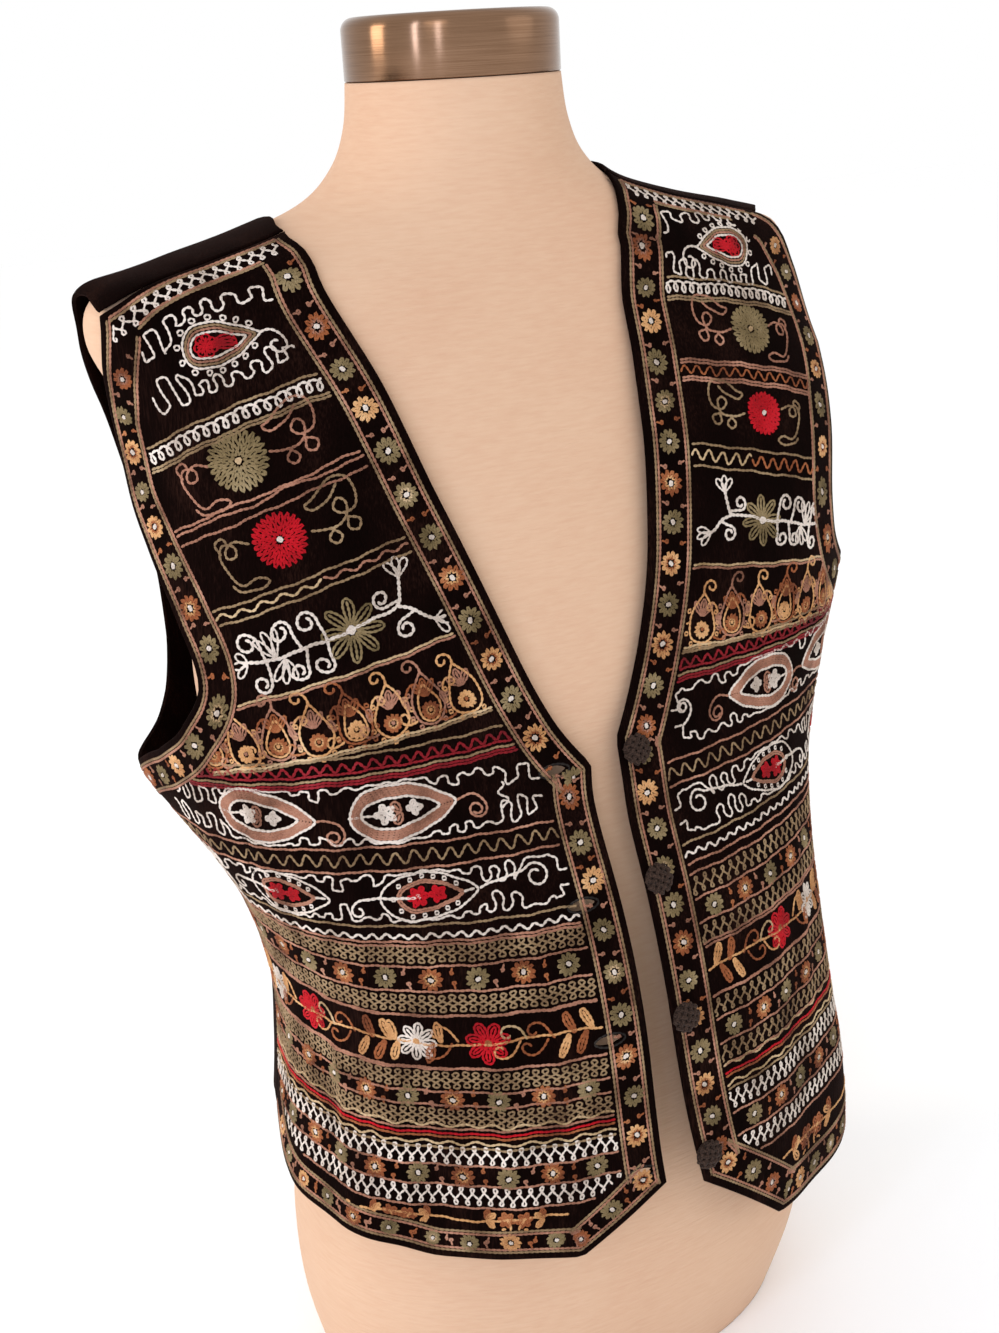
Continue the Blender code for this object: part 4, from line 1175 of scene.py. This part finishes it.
def row_flowers(pen, length):
    """Round flowers in turn with small curls between."""
    gap = 22.0
    for i in range(int(length / gap) + 1):
        tones = FLOWERS[(i * 3 + 1) % len(FLOWERS)] if i % 2 else ("olive", "olive")
        rosette(pen.moved((i + 0.5) * gap, 0.4 * math.sin(i * 2), lean=50 * i), 6.0, *tones)
        for hand in (1, -1):
            x = (i + 1) * gap + 1.6 * hand * math.sin(i * 1.7)
            curl(pen, x, -5.4 * hand, hand, "brown" if i % 2 else "rust")


def row_scroll(pen, length):
    """Running gold stem with red and white flowers, paired leaves and coiled shoots, between two lines."""
    waved(pen, length, "gold", 1.5, 96, 3.0)
    step = 98.0
    for i in range(int(length / step) + 1):
        base = pen.moved(i * step, 0)
        for x, hand, colour in ((5, 1, "gold"), (8, -1, "rust"), (14, 1, "rust"), (17, -1, "gold")):
            filled_leaf(base, 11.5, 3.2, colour, x, 0, 68 * hand, 1.7)
        for x, heading, hand, colour in ((24, 60, -1, "rust"), (27, -60, 1, "rust"), (37, 60, -1, "cream"),
                                         (40, -60, 1, "gold"), (70, 62, -1, "gold"), (73, -62, 1, "rust")):
            base.draw(vine(heading, 25, 0.5 * hand, 32 * hand, 1.5, x=x), colour, THREAD)
        for x, hand, colour in ((78, 1, "gold"), (82, -1, "rust"), (101, 1, "gold"), (99, -1, "gold")):
            filled_leaf(base, 10.5, 3.0, colour, x, 0, 74 * hand, 1.6)
        daisy(base.moved(56, 0), 10.5, 7, "red", "rust", 12, 0.44)
        daisy(base.moved(90, 0), 9.5, 8, "white", "gold", 5, 0.36)
    lines(pen, length, (13.6, "brown"), (-13.6, "brown"))


def row_red_line(pen, length):
    """Red and rust lines under a slow cream wave."""
    lines(pen, length, (0.0, "red"), (-1.8, "rust"))
    waved(pen, length, "cream", THREAD, 14, 2.0, 4.4)


def row_cream_wave(pen, length):
    """Slow cream wave over a khaki line."""
    waved(pen, length, "cream", THREAD, 13, 1.6)
    lines(pen, length, (-2.8, "khaki"))


def row_white_ladder(pen, length):
    """White looped ladder."""
    ladder(pen, length, 9.4, "white", 5.6, 1.3)


def row_line(pen, length):
    """Single rose brown line."""
    lines(pen, length, (0.0, "brown"))


def row_foot_scroll(pen, length):
    """Stem with leaves that fills the point of the hem; slimmer on the wearer's right."""
    if pen.front.side == "right":
        slim = 0.62
        pen, length = pen.moved(20, 0, size=slim), (length - 60) / slim
    waved(pen, length, "gold", 1.5, 110, 4.0, 0.0, 1.0)
    for i in range(int(length / 46) + 1):
        base = pen.moved(i * 46 + 8, 0, mirror=(1, -1)[i % 2])
        for turn, colour in ((35, "gold"), (75, "rust"), (-50, "gold")):
            filled_leaf(base, 9, 3.4, colour, 0, 0, turn)
        base.draw(vine(-50, 26, -2, -30, 1.4, x=16), "gold")
        daisy(base.moved(30, 0), 6.5, 6, "rust", "gold", 10, 0.5)


# Rows from the shoulder down: what is sewn, its middle as a share up the right and the left front, and settings
ROWS = [
    (row_knobbed_drop, 0.905, 0.912, {}), (row_coils, 0.846, 0.873, {}),
    (row_great_flower, 0.812, 0.840, {"petal": "olive", "centre": "cream", "stem": "brown", "radius": 13.8}),
    (row_triple, 0.773, 0.797, {}),
    (row_great_flower, 0.738, 0.764, {"petal": "red", "centre": "white", "stem": "khaki", "radius": 12.4}),
    (row_zigzag, 0.690, 0.720, {}), (row_branch, 0.642, 0.668, {}), (row_double, 0.597, 0.612, {}),
    (row_drops, 0.545, 0.558, {}), (row_red, 0.478, 0.507, {}), (row_ring_drops, 0.416, 0.452, {}),
    (row_wave, 0.368, 0.400, {}), (row_red_drops, 0.327, 0.360, {}), (row_white_wave, 0.287, 0.322, {}),
    (row_net, 0.269, 0.292, {}), (row_flowers, 0.244, 0.268, {}), (row_net, 0.219, 0.246, {}),
    (row_scroll, 0.179, 0.212, {}), (row_net, 0.140, 0.174, {}), (row_flowers, 0.120, 0.149, {}),
    (row_net, 0.101, 0.125, {}), (row_red_line, 0.084, 0.104, {}), (row_cream_wave, 0.074, 0.092, {}),
    (row_white_ladder, 0.061, 0.074, {}), (row_line, 0.050, 0.060, {}), (row_flowers, 0.039, 0.047, {}),
    (row_line, 0.029, 0.034, {}), (row_white_ladder, 0.018, 0.021, {}), (row_line, 0.006, 0.006, {}),
    (row_foot_scroll, -0.005, -0.020, {}),
]


# Millimetres between the flowers of the front band, what the hem band loses in depth halfway along, and where the
# inner shoulder lines stop short of the opening and the armhole
BAND_GAP = {"right": 21.4, "left": 19.2}
HEM_NARROW = {"right": 5.5, "left": 0.0}
SHOULDER_ENDS = {"right": (19.4, 19.0), "left": (22.2, 24.4)}
SLIT_EDGE = 0.8                      # the stitches round a buttonhole lie this far outside it
UNDER_ARM = 40                       # the armhole's band starts this far before its guide, towards the side seam


def edge_slits(front):
    """Black stitches round the four buttonholes; returns how far along the opening each one is."""
    along = []
    for turn, level in SLITS:
        centre = cloth_points(np.radians([-turn]), np.array([level]), CLOTH)
        nearest = np.linalg.norm(front.opening.points - centre, axis=1).argmin()
        along.append(front.opening.along[nearest])
        path = np.stack([np.radians(-turn) + np.linspace(0.1, -0.1, 30), np.full(30, level)], 1)
        pen = Pen(front, Line(path, -1), margins=(0, 0, 0, 0))
        pen.along = pen.guide.along[-1] / 2
        c, s = np.cos(np.linspace(0, 2 * math.pi, 30)), np.sin(np.linspace(0, 2 * math.pi, 30))
        pen.draw(np.stack([(SLIT_LONG / MM / 2 + SLIT_EDGE) * c,
                           (SLIT_WIDE / MM / 2 + SLIT_EDGE) * np.sign(s) * np.abs(s) ** 1.3], 1),
                 "black", 1.3, true=True)
    return along


def sew_shoulder(front):
    """Two double lines along the shoulder seam, with a white ladder between them."""
    across, far = front.shoulder.along[-1], SHOULDER_ENDS[front.side]
    for depth, colour, ends in ((4.2, "brown", (5.6, 5.3)), (5.7, "khaki", (5.6, 5.3)),
                                (15.4, "brown", far), (16.9, "khaki", far)):
        pen = Pen(front, front.shoulder, margins=(*ends, depth * 0.8 - 0.6, 4.0))
        pen.draw(straight(-6, across + 6, depth), colour, THREAD, true=True)
    pen = Pen(front, front.shoulder, up=10.6, margins=(7.5, 7.5, 4.4, 4.0))
    looped_ladder(pen, 0, across, 8.4, "white", 5.8, 1.3)


def embroider(front):
    """Lays the bands, then every row between them."""
    side, right, neck_and_front = front.side, front.side == "right", front.panel.inner.length / MM
    slits = edge_slits(front) if right else ()
    band(front, "opening", 0, neck_and_front, BAND_GAP[side], 6.2, 0, slits)
    band(front, "opening", neck_and_front, front.opening.along[-1], 20.5, 6.0, 1, narrow=HEM_NARROW[side])
    band(front, "armhole", -UNDER_ARM, front.armhole.along[-1], 20.0, 6.0, 2)
    sew_shoulder(front)
    for sew, right_share, left_share, settings in ROWS:
        guide = Line(front.panel.level_row(right_share if right else left_share), -1 if right else 1)
        field = FOOT_FIELD if right and sew is row_foot_scroll else FIELD[side]
        inside = np.flatnonzero(front.clear(guide.path, field))
        if len(inside) >= 3:
            first, last = guide.along[inside[0]], guide.along[inside[-1]]
            sew(Pen(front, guide, first, margins=field), last - first, **settings)


def local_frame(turn, level, lift):
    """Matrix at a point of the cloth: X across it, Y up it, Z outward."""
    step = 0.01
    at, right, left, high, low = cloth_points(np.array([turn, turn + step, turn - step, turn, turn]),
                                              np.array([level, level, level, level + step, level - step]), lift)
    across, up = Vector(right - left).normalized(), Vector(high - low)
    out = across.cross(up).normalized()
    return Matrix.Translation(Vector(at)) @ Matrix((across, out.cross(across), out)).transposed().to_4x4()


# ---------------------------------------------------------------- the pieces
def make_front(side):
    """One front of velvet with its embroidery."""
    front = Front(side)
    us, vs = (shares(*counts) for counts in FRONT_MESH)
    outer, inner = shell_grid(front.panel, us, vs, None)
    cloth = shell("velvet_front_" + side, (outer, inner))
    if side == "right":
        cut_slits(cloth)
    embroider(front)
    for colour, runs in front.sewn().items():
        if runs:
            stitch_mesh(front, colour, runs)
    width, length = flat_size(front.panel)
    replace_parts(cloth, "vest_front_" + side)


def cut_slits(cloth):
    """Four pointed buttonholes through the wearer's right front."""
    t = np.linspace(0, math.pi, 9)
    x, y = SLIT_LONG / 2 * np.cos(t), SLIT_WIDE / 2 * np.sin(t) ** 1.5
    outline = [*zip(x, y)] + [*zip(x[-2:0:-1], -y[-2:0:-1])]
    for turn, level in SLITS:
        mesh = bpy.data.meshes.new("slit")
        with reworked(mesh) as bm:
            low, high = ([bm.verts.new((px, py, z)) for px, py in outline] for z in SLIT_CUT)
            for i, (a, b) in enumerate(zip(low, high)):
                bm.faces.new((a, low[(i + 1) % len(low)], high[(i + 1) % len(low)], b))
            bm.faces.new(low[::-1])
            bm.faces.new(high)
        mesh.transform(local_frame(math.radians(-turn), level, CLOTH / 2))
        cutter = in_scene("slit", mesh)
        cut = cloth.modifiers.new("Slit", "BOOLEAN")
        cut.operation, cut.solver, cut.object = "DIFFERENCE", "EXACT", cutter
        bpy.context.view_layer.objects.active = cloth
        bpy.ops.object.modifier_apply(modifier=cut.name)
        bpy.data.objects.remove(cutter)


def make_back():
    """The back with its yoke, in two halves joined from the hem to the back neck."""
    grids, area = [], 0.0
    us, vs = (shares(*counts) for counts in BACK_MESH)
    for side in ("right", "left"):
        panel = Panel(side, BACK_CENTRE, BACK_NECK, BACK_OUTER, BACK_HEM, None, SEAM)
        outer, inner = shell_grid(panel, us, vs, panel.inner.at_corner)
        if grids:
            joined = int(np.searchsorted(vs, panel.inner.at_corner))
            for grid, other in ((outer, grids[0]), (inner, grids[1])):
                grid[:joined, 0] = other[:joined, 0]
        grids += [outer, inner]
        area += skin_area(outer)
        width, length = flat_size(panel)
    back = shell("velvet_back", grids)
    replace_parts(back, "vest_back")


def make_form():
    """Jersey-covered body, finely meshed, closed flat below and at the neck."""
    turn, level = (a.ravel() for a in np.meshgrid(np.linspace(0, 2 * math.pi, FORM_SIDES, endpoint=False),
                                                  np.linspace(0, TOP_LEVEL, FORM_RINGS)))
    quads = turned_quads(np.arange(len(turn)).reshape(FORM_RINGS, FORM_SIDES).T)
    obj = new_piece("jersey_form", form_points(turn, level), quads, JERSEY)
    with reworked(obj.data) as bm:
        verts = list(bm.verts)
        bm.faces.new(verts[:FORM_SIDES][::-1])
        bm.faces.new(verts[-FORM_SIDES:])
    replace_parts(obj, "form_torso")


def make_cap():
    """Turned steel cap with a rounded top edge."""
    bend = [(CAP_R - CAP_ROUND * (1 - math.cos(a)), CAP_TOP - CAP_ROUND * (1 - math.sin(a)))
            for a in np.linspace(0, math.pi / 2, 9)]
    profile = [(0, CAP_LOW), (CAP_R - CAP_EDGE, CAP_LOW), (CAP_R, CAP_LOW + CAP_EDGE), *bend,
               (CAP_R * 0.5, CAP_TOP), (0, CAP_TOP)]
    centre = (MIDDLE[0], MIDDLE[1] + (SECTIONS[-1][3] - SECTIONS[-1][2]) / 2)
    mesh = bpy.data.meshes.new("steel_cap")
    with reworked(mesh) as bm:
        lathe(bm, profile, CAP_SIDES, centre)
    mesh.shade_smooth()
    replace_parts(dressed("steel_cap", mesh, STEEL), "neck_cap")


STRANDS, STRAND_THICK = 5, 1.15 * MM  # strands of a button each way, and half the width of one
STRAND_GAP = 2 * BUTTON_R / STRANDS * 0.98
STRAND_STEPS, STRAND_SIDES = 25, 6
STRAND_RISE = 0.4 * MM               # how far a strand goes over and under the others
BUTTON_BASE = [(BUTTON_R * 0.80, 0.0), (BUTTON_R * 0.92, 0.0010), (BUTTON_R * 0.90, 0.0022),
               (BUTTON_R * 0.60, 0.0038), (0.0, 0.0044)]         # core under the strands: radius, height


def strand(k, along_x):
    """Skin of one strand over the dome, as sides by steps."""
    offset = (k - (STRANDS - 1) / 2) * STRAND_GAP
    s = np.linspace(-1, 1, STRAND_STEPS) * math.sqrt((BUTTON_R * 0.97) ** 2 - offset ** 2)
    weave = np.cos(math.pi * (s / STRAND_GAP + k + (0 if along_x else 1)))
    x, y = (s, np.full(len(s), offset)) if along_x else (np.full(len(s), offset), s)
    dome = 0.0014 + (BUTTON_RISE - 0.0028) * np.sqrt(np.clip(1 - (np.hypot(x, y) / BUTTON_R) ** 2.2, 0, 1))
    centre = np.stack([x, y, dome + STRAND_RISE * weave], 1)
    ahead = unit(np.gradient(centre, axis=0))
    side = unit(np.cross(ahead, [[0, 0, 1.0]] * STRAND_STEPS))
    up = np.cross(side, ahead)
    return [centre + side * (c * STRAND_THICK) + up * (s * STRAND_THICK * 0.8)
            for c, s in (bearing(360 * i / STRAND_SIDES) for i in range(STRAND_SIDES))]


def make_buttons():
    """Domes of braided cord: two sets of strands that pass over and under each other."""
    verts = np.array([strand(k, along_x) for along_x in (True, False) for k in range(STRANDS)])
    corners = np.arange(verts.size // 3).reshape(verts.shape[:3])
    quads = np.concatenate([turned_quads(one) for one in corners])
    for number, (turn, level) in enumerate(BUTTONS, 1):
        obj = new_piece("woven_button_%d" % number, verts.reshape(-1, 3), quads, CORD)
        with reworked(obj.data) as bm:
            bm.faces.new(lathe(bm, BUTTON_BASE, BUTTON_SIDES)[0][::-1])
        obj.data.shade_smooth()
        sewn_on = Matrix.Rotation(math.radians(38 + 9 * number), 4, "Z")      # each at its own turn
        obj.data.transform(local_frame(math.radians(turn), level, CLOTH + BUTTON_LIFT) @ sewn_on)
        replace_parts(obj, "button_%d" % number)


# ---------------------------------------------------------------- camera, floor and light
CAMERA_AT, CAMERA_AIM = (-0.4036, -0.7288, 0.6975), (0.4396, 0.8296, -0.3443)
CAMERA_ROLL = -3.307                 # degrees
FOCAL = 45.76                        # mm on a 36 mm frame along the long side
FLOOR_REACH, FLOOR_LOW = 6, -0.0005


def make_camera():
    """Camera to the form's right, above its middle and looking down."""
    data = bpy.data.cameras.new("camera")
    data.sensor_fit, data.sensor_width, data.lens = "AUTO", 36, FOCAL
    camera = in_scene("camera", data)
    forward = Vector(CAMERA_AIM).normalized()
    right = forward.cross(Vector((0, 0, 1))).normalized()
    up = right.cross(forward)
    c, s = bearing(CAMERA_ROLL)
    x, y = right * c + up * s, up * c - right * s
    camera.matrix_world = Matrix.Translation(CAMERA_AT) @ Matrix((x, y, -forward)).transposed().to_4x4()
    bpy.context.scene.camera = camera


def light(name, place, aim, size, power, colour, tall=None):
    """Round soft light aimed at a point, or an upright strip of a given height."""
    data = bpy.data.lights.new(name, "AREA")
    data.shape, data.size, data.energy, data.color = "DISK", size, power, hex_colour(colour)[:3]
    if tall:
        data.shape, data.size_y = "RECTANGLE", tall
    obj = in_scene(name, data)
    obj.location = place
    obj.rotation_euler = (Vector(aim) - Vector(place)).to_track_quat("-Z", "Y").to_euler()


def make_studio():
    """White floor and plain soft light: a broad key from the wearer's right, a weak fill, three upright strips."""
    bpy.context.scene.view_settings.view_transform = "Standard"
    world = bpy.data.worlds.new("studio")
    world.use_nodes = True
    world.node_tree.nodes["Background"].inputs["Color"].default_value = hex_colour("#ffffff")
    world.node_tree.nodes["Background"].inputs["Strength"].default_value = 1.0
    bpy.context.scene.world = world
    light("key", (-1.5, -1.6, 1.5), (0, 0, 0.4), 1.0, 4.5, "#fff6ea")
    light("fill", (1.6, -1.3, 1.0), (0, 0, 0.4), 1.4, 3, "#ffffff")
    light("strip_warm", (-1.7, 0.6, 0.9), (0, 0, 0.7), 0.50, 11, "#fff2e0", 1.0)
    light("strip_cool", (-1.6, -0.75, 0.9), (0, 0, 0.7), 0.15, 8, "#cfe0ff", 1.6)
    light("strip_front", (-1.4, -1.65, 0.9), (0, 0, 0.7), 0.2, 6, "#cfe0ff", 1.6)
    mesh = bpy.data.meshes.new("floor")
    corners = [(x * FLOOR_REACH, y * FLOOR_REACH, FLOOR_LOW) for x, y in ((-1, -1), (1, -1), (1, 1), (-1, 1))]
    mesh.from_pydata(corners, [], [(0, 1, 2, 3)])
    mesh.materials.append(new_material("studio floor, matt paint", 0.9, Base_Color=hex_colour("#ffffff"))[0])
    in_scene("floor", mesh)


make_camera()
make_studio()
make_form()
make_cap()
make_back()
for side in ("right", "left"):
    make_front(side)
make_buttons()
